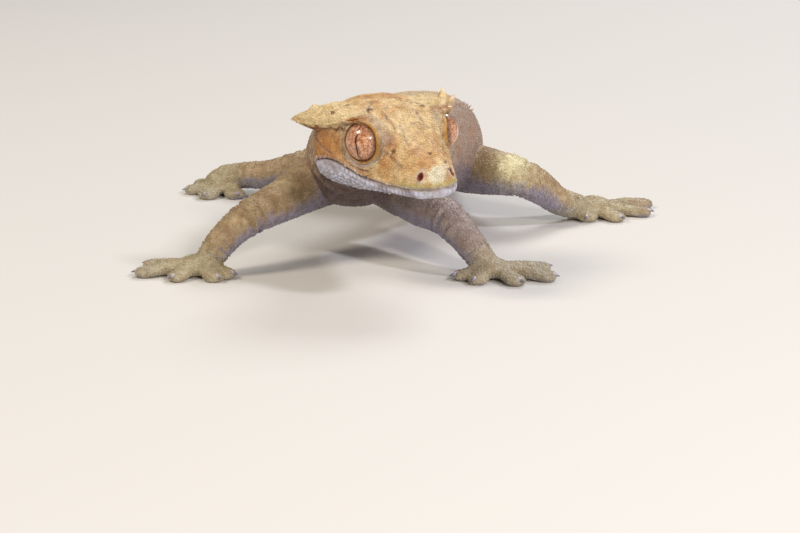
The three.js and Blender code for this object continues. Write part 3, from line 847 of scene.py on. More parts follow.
@dataclass
class Place:
    """Where points of the skin are on the body, for its shaping and its markings."""

    points: Array
    normal: Array

    def __post_init__(self) -> None:
        """Reads the head, the nearest length of trunk or limb, and the feet."""
        self.head = to_head(self.points)
        self.folded = np.column_stack([np.abs(self.head[:, 0]), self.head[:, 1:]])
        self.in_head = self.read_head()
        self.read_lines()
        self.digit = self.read_feet()

    def read_head(self) -> Array:
        """How far each point belongs to the head, from 0 to 1."""
        x, y, z = self.head.T
        w, top, bot, wide, _ = head_station(np.clip(y, 0, HEAD_END)).T
        shape = np.hypot(x / w, (z - wide) / np.where(z > wide, top - wide, wide - bot))
        inside = (1 - step(y, 27.0, 31.0)) * (1 - step(shape, 1.35, 1.7)) * (y > -2)
        crest = step(z, 4.5, 5.5) * (np.abs(x) < 15.5) * (z < 12.5)
        return np.maximum(inside, crest * step(y, 6.0, 8.0) * (1 - step(y, 29.0, 31.0)))

    def read_lines(self) -> None:
        """Finds each point's place on the trunk or a limb, and its distance as a share of the thickness."""
        gap, self.axial = to_line(self.points, SPINE[:, :3], 120)
        self.ratio = gap / smooth(SPINE[:, 3:], self.axial).mean(1)
        self.limb = np.zeros(len(gap), bool)
        self.limb_place = np.zeros(len(gap))
        self.limb_name = np.zeros(len(gap), int)
        for k, line in enumerate(LIMBS):
            gap, place = to_line(self.points, line[:, :3], 50)
            share = gap / smooth(line[:, 3:], place)[:, 0]
            closer = (share < self.ratio) & (place > 0.6)
            self.ratio[closer], self.limb[closer] = share[closer], True
            self.limb_place[closer], self.limb_name[closer] = place[closer], k

    def read_feet(self) -> Array:
        """How far each point belongs to a finger or toe, from 0 to 1."""
        found = np.zeros(len(self.points))
        z = self.points[:, 2]
        for foot in FEET:
            reach = max(math.dist(tip, foot.palm[:2]) for tip in foot.tips)
            gap = np.hypot(self.points[:, 0] - foot.palm[0], self.points[:, 1] - foot.palm[1])
            close = (gap < reach + 3) & (z < 5)
            found = np.maximum(found, close * step(gap / reach, 0.2, 0.9) * (1 - step(z, 3.2, 4.4)))
            found = np.maximum(found, 0.35 * close * (1 - step(z, 3.5, 4.6)))
        return found

    def hill(self, at: Triple, spread: float) -> Array:
        """A round hill about a place in the head's frame, on both sides of the head."""
        return mound(self.folded, at, spread)

    @property
    def above(self) -> Array:
        """Height over the mouth's line."""
        return self.head[:, 2] - mouth_height(np.clip(self.head[:, 1], 0, MOUTH[-1, 0]))

    @property
    def over_edge(self) -> Array:
        """Height over the lower edge of the jaw's pale band."""
        return self.head[:, 2] - np.interp(self.head[:, 1], JAW_EDGE[:, 0], JAW_EDGE[:, 1])

    @property
    def unwrap(self) -> Array:
        """Each point's place on a flat map: along its part and round it, each part on a tile of its own."""
        in_head = self.in_head > 0.5
        x, y, z = self.head.T
        along = np.where(in_head, y / 31, self.axial / (len(SPINE) - 1))
        turned = np.where(in_head, np.arctan2(x, z - 2.0), turn_about(self.points, SPINE, self.axial))
        # Each tile's corner, width and height: the head's, the trunk's and then each limb's.
        tile = np.where(in_head[:, None], (0.02, 0.02, 0.3, 0.62), (0.36, 0.02, 0.28, 0.96))
        for k, (line, foot) in enumerate(zip(LIMBS, FEET)):
            here = self.limb & (self.limb_name == k) & ~in_head
            turned[here] = turn_about(self.points[here], line, self.limb_place[here])
            along[here] = np.clip(self.limb_place[here] / LIMB_END, 0, 1)
            flat = here & (self.limb_place > LIMB_END - 0.4)
            along[flat] = 1 + (self.points[flat, 1] - foot.palm[1]) / 90
            turned[flat] = (self.points[flat, 0] - foot.palm[0]) / 8
            tile[here] = (0.68 + 0.16 * (k % 2), 0.02 + 0.5 * (k // 2), 0.14, 0.34)
        u = tile[:, 0] + tile[:, 2] * (turned / (2 * np.pi) + 0.5)
        v = tile[:, 1] + tile[:, 3] * np.clip(along, 0, 1.3)
        return np.column_stack([np.clip(u, 0, 1), np.clip(v, 0, 1), np.zeros(len(u))])


# Shapes of the skin


# Creases of the crown, cheek and snout, on both sides: stations in the head's frame.
CREASES = (
    ((2.2, 20.5, 10.7), (4.6, 18.4, 10.4), (5.4, 16.0, 10.1)),
    ((1.0, 17.6, 10.3), (2.6, 15.6, 9.9), (3.0, 14.2, 9.6)),
    ((9.6, 19.0, 3.9), (10.2, 17.0, 2.9), (9.4, 14.2, 2.0), (8.2, 11.0, 1.6)),
    ((11.9, 23.5, 5.0), (11.9, 21.0, 3.8), (11.2, 18.6, 3.2)),
    ((3.0, 14.2, 9.8), (2.9, 12.0, 8.9), (3.2, 10.7, 8.1), (4.3, 9.4, 6.8)),
    ((1.3, 12.0, 8.8), (1.9, 9.4, 7.4), (2.3, 7.0, 6.2)),
    ((5.8, 9.0, 5.6), (5.2, 7.0, 4.6), (4.6, 5.0, 3.8)),
)
# Ridges and hollows of the snout, brow and cheek, on both sides: height, then places and spreads.
FACE_HILLS = (
    (0.42, (((2.9, 8.0, 6.3), 1.5), ((4.2, 11.6, 8.3), 1.6), ((2.3, 4.6, 5.3), 1.2))),
    (-0.6, (((0.0, 12.6, 9.2), 2.2),)), (-0.5, (((5.6, 7.6, 3.7), 2.2),)),
    (0.5, (((11.6, 21.0, -0.4), 3.6),)), (0.3, (((10.6, 19.5, 4.6), 2.6),)), (0.18, (((1.5, 1.2, 3.9), 1.0),)),
)
# Hills and hollows of the crown, each on one side: place, spread and height.
CROWN = (
    ((-1.0, 25.0, 10.6), (5.0, 5.0, 3.0), 0.55), ((-9.0, 24.5, 9.6), (3.0, 4.0, 2.5), 0.25),
    ((9.3, 25.5, 10.0), (3.0, 4.5, 3.0), -0.95), ((10.4, 17.2, 10.2), (1.8, 3.2, 1.9), 1.05),
    ((5.6, 11.2, 6.6), (1.8, 2.6, 2.2), -0.55),
)
# Rings and grooves of the lids: distance from the eye's axis, spread and height.
LID_RINGS = (
    (3.72, 0.2, 0.16), (4.17, 0.17, -0.3), (4.6, 0.22, 0.24), (5.1, 0.2, -0.28), (5.55, 0.25, 0.2),
    (6.05, 0.2, -0.18),
)


@dataclass
class Relief:
    """How far the skin stands out at each point, in millimetres."""

    place: Place

    def __post_init__(self) -> None:
        """Sums the forms."""
        self.out = np.zeros(len(self.place.points))
        for form in (self.mouth, self.face, self.openings, self.folds, self.unevenness):
            form()
        self.out *= 1 - 0.75 * self.place.digit

    def mouth(self) -> None:
        """The lips, the line of the mouth, the jaw's band and the joints of its plates."""
        on, above, edge = self.place.in_head, self.place.above, self.place.over_edge
        y, z = self.place.head[:, 1], self.place.head[:, 2]
        low = on * (1 - step(z, 5.0, 7.0))
        lipped = low * (1 - step(y, 22.4, 24.2)) * (self.place.normal @ HEAD_TURN[:, 2] > -0.55)
        self.out += 0.16 * bump(above, 0.62, 0.38) * lipped
        self.out -= (0.26 + 0.16 * step(y, 7, 14)) * bump(above, 0.0, 0.18) * lipped
        band = step(edge, -0.25, 0.35) * (1 - step(above, -0.35, -0.1)) * low * (1 - step(y, 21.5, 23.4))
        self.out += 0.26 * band
        self.out -= 0.13 * bump(edge, -0.4, 0.3) * low * (y < 21.5)
        joints = 1 - step(np.abs(np.sin(np.pi * (y + 0.25 * z) / 1.05)), 0.0, 0.35)
        lips = lipped * (above < 1.3) * (above > -1.6)
        self.out -= 0.07 * joints * (0.5 + 0.5 * bump(above, 0.6, 0.5)) * lips

    def face(self) -> None:
        """The ridges, hollows, knobs and creases of the head."""
        place, on = self.place, self.place.in_head
        for height, hills in FACE_HILLS:
            self.out += on * height * sum(place.hill(at, spread) for at, spread in hills)
        x, y, z = place.folded.T
        knobs = np.maximum(noise(place.points, 1.5, 33), 0) * step(x, 7.5, 10)
        self.out += on * 0.55 * (knobs * step(z, 7.2, 8.4) * step(y, 14, 18))
        for at, spread, height in CROWN:
            self.out += on * height * mound(place.head, at, spread)
        for crease in CREASES:
            gap, _ = to_line(place.folded, np.array(crease), 24)
            self.out += on * (0.16 * bump(gap, 0.5, 0.25) - 0.26 * bump(gap, 0.0, 0.22))

    def openings(self) -> None:
        """The nostrils and ears, each a hollow in a raised rim."""
        for at, size, rim, hollow in (
            (HEAD.nostril, (0.8, 0.75, 1.2), (0.2, 0.85, 0.3), (0.7, 0.42)),
            (HEAD.ear, (2.0, 0.6, 1.15), (0.18, 1.35, 0.4), (0.9, 0.85)),
        ):
            away = np.linalg.norm((self.place.folded - np.array(at)) / np.array(size), axis=1)
            raised = rim[0] * bump(away, rim[1], rim[2])
            self.out += self.place.in_head * (raised - hollow[0] * bump(away, 0.0, hollow[1]))

    def folds(self) -> None:
        """The folds of the neck, flanks and limbs."""
        place = self.place
        trunk = (1 - place.in_head) * ~place.limb
        neck = trunk * bump(place.axial, 1.0, 0.75)
        self.out += neck * 0.22 * np.sin(place.axial * 21 + 1.2 * noise(place.points, 4, 3))
        flank = trunk * step(place.axial, 2, 3) * (1 - step(place.axial, 7, 8))
        self.out += flank * 0.3 * bump(place.normal[:, 2], -0.25, 0.16) * (1 + noise(place.points, 5, 9))
        bend = place.limb * (bump(place.limb_place, 3.1, 0.55) + 0.7 * bump(place.limb_place, 5.0, 0.5))
        self.out += 0.16 * bend * np.sin(place.limb_place * 19 + noise(place.points, 2.5, 4))

    def unevenness(self) -> None:
        """The small hills of living skin."""
        points, on = self.place.points, self.place.in_head
        self.out += (1 - 0.55 * on) * (0.16 * noise(points, 4.2, 5) + 0.09 * noise(points, 1.7, 6))
        self.out += on * (0.1 * noise(points, 1.5, 7) + 0.12 * noise(points, 2.8, 36))


def lids(points: Array) -> Array:
    """Draws the skin about the eyes into the rings of the lids.

    Args:
        points: points in the part's frame.

    Returns:
        The moved points.
    """
    head = to_head(points)
    for eye in EYES:
        _, _, depth, wide = eye.read(head)
        out = head - eye.centre
        near = step(depth, -2.2, -0.8) * (1 - step(wide, 6.2, 6.7)) * (depth < 4.5)
        rings = sum(height * bump(wide, at, spread) for at, spread, height in LID_RINGS)
        rings *= 0.75 + 0.25 * noise(points, 1.3, 35)
        head = head + (near * rings)[:, None] * unit(eye.way * 0.8 + 0.2 * out)
    return from_head(head)


# Markings of the skin


# Dark spots of the face: place in the head's frame and half width.
SPOTS = (
    (-4.33, 17.8, 10.5, 0.62), (-10.2, 20.5, 10.2, 0.5), (-4.7, 8.2, 5.8, 0.42), (0.7, 4.7, 5.6, 0.4),
    (0.0, 13.8, 9.8, 0.28), (3.0, 4.5, 5.0, 0.36), (2.7, 2.7, 4.5, 0.36), (2.5, 1.0, 3.6, 0.3),
    (5.2, 16.4, 10.3, 0.5), (3.4, 8.6, 6.6, 0.4), (8.4, 22.6, 10.0, 0.55), (-6.6, 22.0, 10.4, 0.45),
    (5.6, 6.2, 3.2, 0.36), (9.2, 17.6, 3.6, 0.4), (-8.9, 24.0, 9.4, 0.4), (11.9, 21.0, 4.4, 0.5),
)
# The pale patch of the left knee: place and spread.
KNEE_PATCH = ((23.0, 32.0, 13.0), (3.4, 5.0, 4.0))


@dataclass
class Markings:
    """Colour of the skin, with shade and sheen painted into it, and how wet it looks at each point."""

    place: Place

    def __post_init__(self) -> None:
        """Draws the noise that the markings share, and lays the colours down."""
        points = self.place.points
        self.coarse, self.middling, self.fine = (
            noise(points, size, seed) for size, seed in ((6.5, 21), (2.6, 22), (1.1, 23)))
        self.mottle = 0.5 * self.middling + 0.35 * self.fine + 0.35 * self.coarse
        self.snout = self.place.hill((0.0, 0.3, 3.2), 2.1)
        above, y = self.place.above, self.place.head[:, 1]
        self.jaw = (1 - step(above, -0.3, -0.05)) * (1 - step(y, 22.6, 23.8))
        self.band = self.jaw * step(self.place.over_edge, -0.6, 0.1)
        face = self.openings(self.mouth(self.crest(self.face())))
        for eye in EYES:
            face = self.lid(face, eye)
        self.colour = layered(self.trunk_and_limbs(), (face, self.place.in_head))
        self.wet = self.wetness()

    def plain(self, hue: Hue) -> Array:
        """One colour at every point."""
        return np.tile(linear(hue.value), (len(self.place.points), 1))

    def trunk_and_limbs(self) -> Array:
        """Colours of the body behind the head."""
        place = self.place
        share = place.limb * step(1.25 - place.ratio, -0.3, 0.2) * step(place.limb_place, 0.8, 1.7)
        return layered(self.trunk(), (self.limbs(), np.maximum(share, place.digit > 0)))

    def trunk(self) -> Array:
        """Colours of the trunk and tail, with painted shade on their downward faces."""
        axis, up, mottle = self.place.axial, self.place.normal[:, 2], self.mottle
        return layered(
            self.plain(Hue.TRUNK),
            (Hue.TAIL, step(axis, 7.5, 9.5)),
            (Hue.LIMB, 0.75 * (1 - step(axis, 1.4, 3.0))),
            (Hue.OCHRE, 0.3 * step(mottle, 0.1, 0.55)),
            (Hue.CREAM, 0.55 * step(up, 0.72, 0.95) * step(axis, 1.5, 2.6)),
            (Hue.RUST, 0.15 * step(mottle - 0.25 * up, 0.35, 0.8)),
            (Hue.BAND, 0.45 * step(axis, 8.6, 9.6) * step(np.sin(axis * 7.5 + self.coarse), 0.35, 0.8)),
            # partly the belly's own lilac, partly painted shade on the downward faces
            (Hue.LILAC, 0.85 * (1 - step(up, -0.55, 0.1))),
            # painted shade under the neck and chest, on their downward faces
            (Hue.THROAT, 0.85 * (1 - step(up, -0.5, 0.35)) * (1 - step(axis, 1.6, 3.2))),
        )

    def limbs(self) -> Array:
        """Colours of the limbs, hands and feet, with painted shade on their downward faces and over the left
        arm.
        """
        place, fine = self.place, self.fine
        up, along = place.normal[:, 2], place.limb_place
        shaded_left_arm = place.limb_name == LEFT_ARM
        left_leg = place.limb & (place.limb_name == LEFT_LEG)
        return layered(
            self.plain(Hue.LIMB),
            (Hue.BAND, 0.5 * step(np.sin(along * 8.0 + 1.1 * self.coarse), 0.2, 0.8) * step(up, -0.1, 0.5)),
            (Hue.CREAM, 0.35 * step(self.mottle, 0.15, 0.6)),
            (Hue.RUST, 0.2 * step(fine - 0.2 * self.middling, 0.35, 0.7)),
            # the limbs' downward faces: their own lavender with painted shade
            (Hue.UNDER, 0.9 * (1 - step(up + 0.12 * self.middling, -0.42, 0.12))),
            # the whole left arm bluer and darker: painted shade
            (Hue.UNDER, 0.5 * shaded_left_arm * (1 - 0.4 * step(along, 3, 6))),
            (Hue.PATCH, left_leg * mound(place.points, *KNEE_PATCH)),
            # the left hand keeps more of that painted shade
            (Hue.HAND, (0.85 - 0.25 * shaded_left_arm) * step(along, 4.6, 5.6)),
            (Hue.PAD, 0.5 * step(place.digit, 0.6, 0.9) * (0.6 + 0.4 * fine)),
        )

    def face(self) -> Array:
        """The mottled ground of the head."""
        mottle, fine, middling, hill = self.mottle, self.fine, self.middling, self.place.hill
        _, y, z = self.place.head.T
        veins = 1 - step(np.abs(noise(self.place.points + 0.5 * middling[:, None], 2.1, 27)), 0.0, 0.1)
        return layered(
            self.plain(Hue.SAND),
            (Hue.CREAM, 0.85 * step(mottle + 0.2, -0.05, 0.45)),
            (Hue.OCHRE, 0.35 * hill((5.8, 7.2, 3.6), 3.2)),
            (Hue.CREAM, 0.5 * hill((0.6, 6.5, 6.4), 2.6)),
            (Hue.CREAM, 0.5 * hill((5.0, 5.0, 1.6), 2.6)),
            (Hue.OCHRE, 0.8 * step(y, 13, 19) * (1 - step(z, 6.3, 7.8))),
            (Hue.RUST, 0.5 * step(y, 17, 22) * (1 - step(z, 5.5, 7.4)) * step(mottle, -0.35, 0.4)),
            (Hue.SAND, 0.6 * step(mottle, 0.2, 0.6) * (z < 6)),
            (Hue.OCHRE, 0.45 * step(-mottle, 0.15, 0.5)),
            (Hue.LILAC, 0.3 * step(-middling - 0.6 * fine, 0.2, 0.7) * step(z, 5, 8) * (1 - step(y, 12, 18))),
            (Hue.RUST, 0.35 * veins * step(fine, -0.4, 0.3)),
        )

    def crest(self, face: Array) -> Array:
        """The pale crest with its dark toothed edge, and painted shade along the creases.

        Args:
            face: the head's colours so far.

        Returns:
            The head's colours with them.
        """
        x, y, z = self.place.folded.T
        ridge = smooth(CREST[:, [0, 2]], np.interp(y, CREST[:, 1], np.arange(len(CREST))))
        teeth = z - ridge[:, 1] + 1.75 + 0.45 * noise(self.place.points, 0.9, 31) + 0.15 * np.sin(y * 4.1)
        edge = bump(teeth, -0.35, 0.38) * step(x - ridge[:, 0], -3.4, -1.6)
        gaps = (to_line(self.place.folded, np.array(crease), 24)[0] for crease in CREASES)
        return layered(
            face,
            (Hue.CREAM, 0.85 * step(teeth, -0.05, 0.3) * step(y, 11, 16) * step(x, 3.0, 7.5)),
            (Hue.RUST, 0.9 * edge * step(y, 12, 15)),
            # painted shade along the creases
            *((Hue.LILAC, 0.26 * bump(gap, 0.15, 0.4)) for gap in gaps),
        )

    def mouth(self, face: Array) -> Array:
        """The pale snout with its painted wet sheen, the lips, the painted shade under the chin, the jaw's
        band and the line of the mouth with painted shade in its groove.

        Args:
            face: the head's colours so far.

        Returns:
            The head's colours with them.
        """
        above, mottle = self.place.above, self.mottle
        _, y, z = self.place.head.T
        # the chin's underside: painted shade, mottled with lilac
        under = layered(self.plain(Hue.THROAT), (Hue.LILAC, 0.25 + 0.3 * self.middling))
        lip = layered(self.plain(Hue.LIP), (Hue.LIP_DARK, 0.7 * step(mottle, -0.2, 0.5)))
        groove = bump(above, 0.0, 0.13) * (1 - step(y, 22.6, 23.6)) * (0.25 + 0.75 * step(y, 7, 15))
        return layered(
            face,
            # the snout's own pale tip, brightened with a painted wet sheen
            (Hue.WET, 0.95 * step(self.snout + 0.25 * self.fine, 0.25, 0.7)),
            (Hue.LIME, 0.75 * (1 - step(above, 0.8, 1.6)) * (1 - step(y, 3.0, 7.0))),
            (Hue.LIP, 0.5 * (1 - step(above, 0.25, 0.75))),
            # painted shade over the jaw below the mouth and under the chin
            (under, np.maximum(self.jaw, 1 - step(z, -2.6, -1.0))),
            (lip, self.band),
            # painted shade in the mouth's groove
            (Hue.GROOVE, 0.9 * groove * (self.place.normal @ HEAD_TURN[:, 2] > -0.7)),
        )

    def openings(self, face: Array) -> Array:
        """The dark spots, the nostrils with their pale rims and the painted shade inside them, and the painted
        shade inside the ears.

        Args:
            face: the head's colours so far.

        Returns:
            The head's colours with them.
        """
        place = self.place
        for *at, size in SPOTS:
            gap = np.linalg.norm(place.head - np.array(at), axis=1) * (1 + 0.25 * self.fine)
            face = layered(face, (Hue.SPOT, 0.85 * (1 - step(gap, size * 0.6, size * 1.2))))
        nose = place.folded - np.array(HEAD.nostril)
        inward = np.array([0.8, -0.6, 0.0])
        nose -= 0.8 * np.outer(nose @ inward, inward)
        nose = np.linalg.norm(nose / np.array([1.0, 0.9, 1.3]), axis=1)
        ear = np.linalg.norm((place.folded - np.array(HEAD.ear)) / np.array([2, 0.6, 1.15]), axis=1)
        return layered(
            face,
            (Hue.LIP, 0.45 * bump(nose, 0.85, 0.15)),
            # the nostril's dark red lining, with painted shade in its opening
            (Hue.NOSTRIL, 1 - step(nose, 0.5, 0.66)),
            # painted shade in the ear's opening
            (Hue.GROOVE, 0.85 * (1 - step(ear, 0.6, 1.1))),
        )

    def lid(self, face: Array, eye: Eye) -> Array:
        """The golden lid with its pale ring.

        Args:
            face: the head's colours so far.
            eye: the eye that it goes round.

        Returns:
            The head's colours with it.
        """
        back, up, depth, wide = eye.read(self.place.head)
        near = eye.in_reach(depth)
        radius = np.maximum(wide, 0.1)
        ahead = step(-back / radius, -0.2, 0.6)
        return layered(
            face,
            (Hue.LID_RING, 0.6 * near * bump(wide, 4.2, 0.55)),
            (Hue.LID, near * (1 - step(wide, 3.85, 4.1)) * (0.15 + 0.85 * ahead)),
            (Hue.RUST, 0.8 * near * (1 - step(wide, 3.4, 3.65))),
            (Hue.LASH, 0.8 * (near * bump(wide, 4.1, 0.4) * step(up / radius, 0.6, 0.9) * (1 - ahead))),
            (Hue.LIP, 0.6 * near * bump(wide, 4.1, 0.2) * step(-up / radius, 0.3, 0.85)),
        )

    def wetness(self) -> Array:
        """How wet the skin looks."""
        place = self.place
        wet = 0.9 * step(self.snout, 0.3, 0.75) + 0.55 * self.band * place.in_head
        wet = wet + 0.6 * place.hill((3.2, 11.6, 8.5), 1.4)
        for eye in EYES:
            _, _, depth, wide = eye.read(place.head)
            wet = np.maximum(wet, 0.8 * eye.in_reach(depth) * (1 - step(wide, 3.7, 4.5)))
        return np.clip(wet, 0, 1) * place.in_head


# The skin


@dataclass
class Skin:
    """Makes the skin: joined lofts, one surface, shaped, thinned and marked."""

    shift: Array
    voxel: float = 0.24
    budget: int = 190_000
    socket_gap: float = 0.06
    floor: float = 0.02

    def shells(self) -> list[Shell]:
        """The forms that the skin is drawn over."""
        skull = Skull()
        made = [skull.form(), Shell.tube(SPINE, 0.15, sides=72, steps=260, square=2.2)]
        for eye in EYES:
            made += [skull.shelf(eye.side), eye.rim_shell(), eye.mound_shell()]
        made += [Shell.tube(line) for line in LIMBS]
        for foot in FEET:
            made.append(Shell.ball(np.array(foot.palm), np.array(foot.size)))
            made += [foot.digit(tip) for tip in foot.tips]
        return made

    def place(self, mesh: bpy.types.Mesh, points: Array | None = None) -> Place:
        """Where the mesh's points are on the body.

        Args:
            mesh: the skin's mesh.
            points: points that stand in for its own, if any.

        Returns:
            Their places.
        """
        if points is None:
            points = self.part_points(mesh)
        return Place(points, vectors(mesh.vertex_normals, "vector").astype(float))

    def part_points(self, mesh: bpy.types.Mesh) -> Array:
        """The mesh's points in the part's frame, in millimetres."""
        return vectors(mesh.vertices, "co").astype(float) / MM - self.shift

    def move(self, mesh: bpy.types.Mesh, points: Array) -> None:
        """Moves the mesh's points."""
        mesh.vertices.foreach_set("co", ((points + self.shift) * MM).astype(np.float32).ravel())
        mesh.update()

    def build(self, material: bpy.types.Material) -> bpy.types.Object:
        """Makes the skin.

        Args:
            material: its finish.

        Returns:
            The dressed piece.
        """
        skin = to_mesh("skin", Shell.joined(self.shells()), self.shift)
        remesh = skin.modifiers.new("one surface", "REMESH")
        remesh.mode = "VOXEL"
        remesh.voxel_size = self.voxel * MM
        remesh.adaptivity = 0.0
        mesh = applied(skin).data
        points = self.part_points(mesh)
        points = relaxed(mesh, points, np.full(len(points), 0.5), 4)
        place = self.place(mesh, points)
        join = (1 - place.in_head) * (1 - place.digit) * step(place.ratio, 0.9, 1.15)
        points = relaxed(mesh, points, 0.6 * join + 0.02, 25)
        self.move(mesh, points)
        place = self.place(mesh, points)
        points = lids(points + place.normal * Relief(place).out[:, None])
        points[:, 2] = np.maximum(points[:, 2], self.floor)
        self.move(mesh, points)
        self.open_sockets(skin)
        self.thin(skin)
        self.mark(skin.data)
        skin.data.materials.clear()
        skin.data.materials.append(material)
        return dress(skin, "skin", *SKIN_NODES)

    def open_sockets(self, skin: bpy.types.Object) -> None:
        """Takes the room of the eyeballs out of the skin.

        Args:
            skin: the skin.
        """
        cutters = bpy.data.collections.new("sockets")
        bpy.context.scene.collection.children.link(cutters)
        for eye in EYES:
            shell = Shell.ball(from_head(eye.centre), np.full(3, HEAD.eye_radius + self.socket_gap), 96)
            cutter = to_mesh(f"socket{eye.side}", shell, self.shift)
            bpy.context.scene.collection.objects.unlink(cutter)
            cutters.objects.link(cutter)
        cut = skin.modifiers.new("sockets", "BOOLEAN")
        cut.operation = "DIFFERENCE"
        cut.solver = "MANIFOLD"
        cut.operand_type = "COLLECTION"
        cut.collection = cutters
        applied(skin)
        for cutter in list(cutters.objects):
            bpy.data.objects.remove(cutter)
        bpy.data.collections.remove(cutters)

    def thin(self, skin: bpy.types.Object) -> None:
        """Brings the mesh under its budget, and keeps the head fine.

        Args:
            skin: the skin.
        """
        place = self.place(skin.data)
        keep = skin.vertex_groups.new(name="fine")
        weight = np.clip(np.round(1 - 0.92 * place.in_head, 2), 0, 1)
        for value in np.unique(weight):
            keep.add(np.nonzero(weight == value)[0].tolist(), float(value), "REPLACE")
        triangles = sum(len(p.vertices) - 2 for p in skin.data.polygons)
        thin = skin.modifiers.new("thin", "DECIMATE")
        thin.ratio = min(1.0, self.budget / triangles)
        thin.vertex_group = keep.name
        thin.vertex_group_factor = 1.0
        applied(skin)
        skin.vertex_groups.clear()

    def mark(self, mesh: bpy.types.Mesh) -> None:
        """Writes the colours, the wetness, the flat map and the shares of grain to the skin.

        Args:
            mesh: the skin's mesh.
        """
        place = self.place(mesh)
        markings = Markings(place)
        mesh.shade_smooth()
        put_vectors(mesh, marking=markings.colour, unwrap=place.unwrap)
        above, y, z = place.above, place.head[:, 1], place.head[:, 2]
        lip = place.in_head * (1 - step(above, 0.3, 0.9)) * step(z, -4.0, -3.0)
        nose = np.linalg.norm(np.abs(place.head) - np.array(HEAD.nostril), axis=1)
        bare = (place.points[:, 2] < 0.5) | (nose < 0.9)
        for eye in EYES:
            _, _, depth, wide = eye.read(place.head)
            bare |= (wide < 3.95) & (depth > -1) | (np.hypot(wide, depth) < 3.8)
        groove = (above < 0.22) & (above > -1.95)
        body, along = (place.in_head < 0.5) & ~bare, place.points[:, 1]
        put_numbers(
            mesh, wet=markings.wet,
            fine_grain=place.in_head * (1 - lip) * ~bare * ~(groove & (y < 23)),
            plate_grain=(lip > 0.6) & ~bare & ~groove,
            front_grain=body & (along < 8), middle_grain=body & (along >= 8) & (along < 42),
            rear_grain=body & (along >= 42),
        )


# Finishes


@dataclass
class Nodes:
    """A node tree under construction."""

    tree: bpy.types.NodeTree

    def fill(self, socket: bpy.types.NodeSocket, value: object) -> None:
        """Links a socket to another, or sets its value."""
        if isinstance(value, bpy.types.NodeSocket):
            self.tree.links.new(value, socket)
        else:
            socket.default_value = value

    def node(self, kind: str, settings: dict[str, object] | None = None, **inputs: object) -> bpy.types.Node:
        """Adds a node.

        Args:
            kind: its type.
            settings: its settings, by name.
            inputs: values or sockets for its inputs, named with underscores for spaces, or i and a number.

        Returns:
            The node.
        """
        made = self.tree.nodes.new(kind)
        for key, value in (settings or {}).items():
            setattr(made, key, value)
        for key, value in inputs.items():
            numbered = key[0] == "i" and key[1:].isdigit()
            self.fill(made.inputs[int(key[1:]) if numbered else key.replace("_", " ")], value)
        return made


@dataclass
class Shader(Nodes):
    """A material under construction, with one small function for each thing that is often added."""

    material: bpy.types.Material

    @staticmethod
    def new(name: str) -> Shader:
        """A new material with one Principled shader."""
        material = bpy.data.materials.new(name)
        material.use_nodes = True
        return Shader(material.node_tree, material)

    def math(self, operation: str, a: object, b: object = 0.0) -> bpy.types.NodeSocket:
        """The result of a sum on two values."""
        return self.node("ShaderNodeMath", {"operation": operation}, i0=a, i1=b).outputs[0]

    def ramp(
        self, value: object, start: float, end: float, low: float = 0.0, high: float = 1.0,
    ) -> bpy.types.NodeSocket:
        """A smooth climb.

        Args:
            value: the value that is read.
            start: where the climb starts.
            end: where it ends.
            low: the result up to its start.
            high: the result from its end.

        Returns:
            The result.
        """
        return self.node("ShaderNodeMapRange", {"interpolation_type": "SMOOTHSTEP"}, Value=value,
                         From_Min=start, From_Max=end, To_Min=low, To_Max=high).outputs[0]

    def mix(self, share: object, a: object, b: object, blend_type: str = "MIX") -> bpy.types.NodeSocket:
        """Two colours mixed."""
        return self.node("ShaderNodeMix", {"data_type": "RGBA", "blend_type": blend_type},
                         i0=share, i6=a, i7=b).outputs[2]

    def times(self, colour: object, shares: list[bpy.types.NodeSocket]) -> bpy.types.NodeSocket:
        """A colour with its red, green and blue each made a share of themselves."""
        parts = self.node("ShaderNodeCombineColor", i0=shares[0], i1=shares[1], i2=shares[2])
        return self.mix(1.0, colour, parts.outputs[0], "MULTIPLY")

    def attribute(self, name: str, output: str = "Fac") -> bpy.types.NodeSocket:
        """A value that the mesh carries."""
        return self.node("ShaderNodeAttribute", {"attribute_name": name}).outputs[output]

    def noise(
        self, vector: object, scale: float, detail: float = 3.0, rough: float = 0.55,
    ) -> bpy.types.NodeSocket:
        """Fractal noise with scale hills for a unit."""
        return self.node("ShaderNodeTexNoise", Vector=vector, Scale=scale, Detail=detail,
                         Roughness=rough).outputs["Fac"]

    def cells(self, vector: object, scale: float) -> bpy.types.NodeSocket:
        """Distance to the edge of scattered cells."""
        return self.node("ShaderNodeTexVoronoi", {"feature": "DISTANCE_TO_EDGE"}, Vector=vector,
                         Scale=scale).outputs["Distance"]

    def relief(self, height: object, strength: float, distance: float) -> bpy.types.NodeSocket:
        """A surface raised by a height, for the shader's normal."""
        return self.node("ShaderNodeBump", Height=height, Strength=strength, Distance=distance).outputs[0]

    def set(self, **inputs: object) -> None:
        """Fills or links inputs of the Principled shader."""
        for key, value in inputs.items():
            self.fill(self.tree.nodes["Principled BSDF"].inputs[key.replace("_", " ")], value)


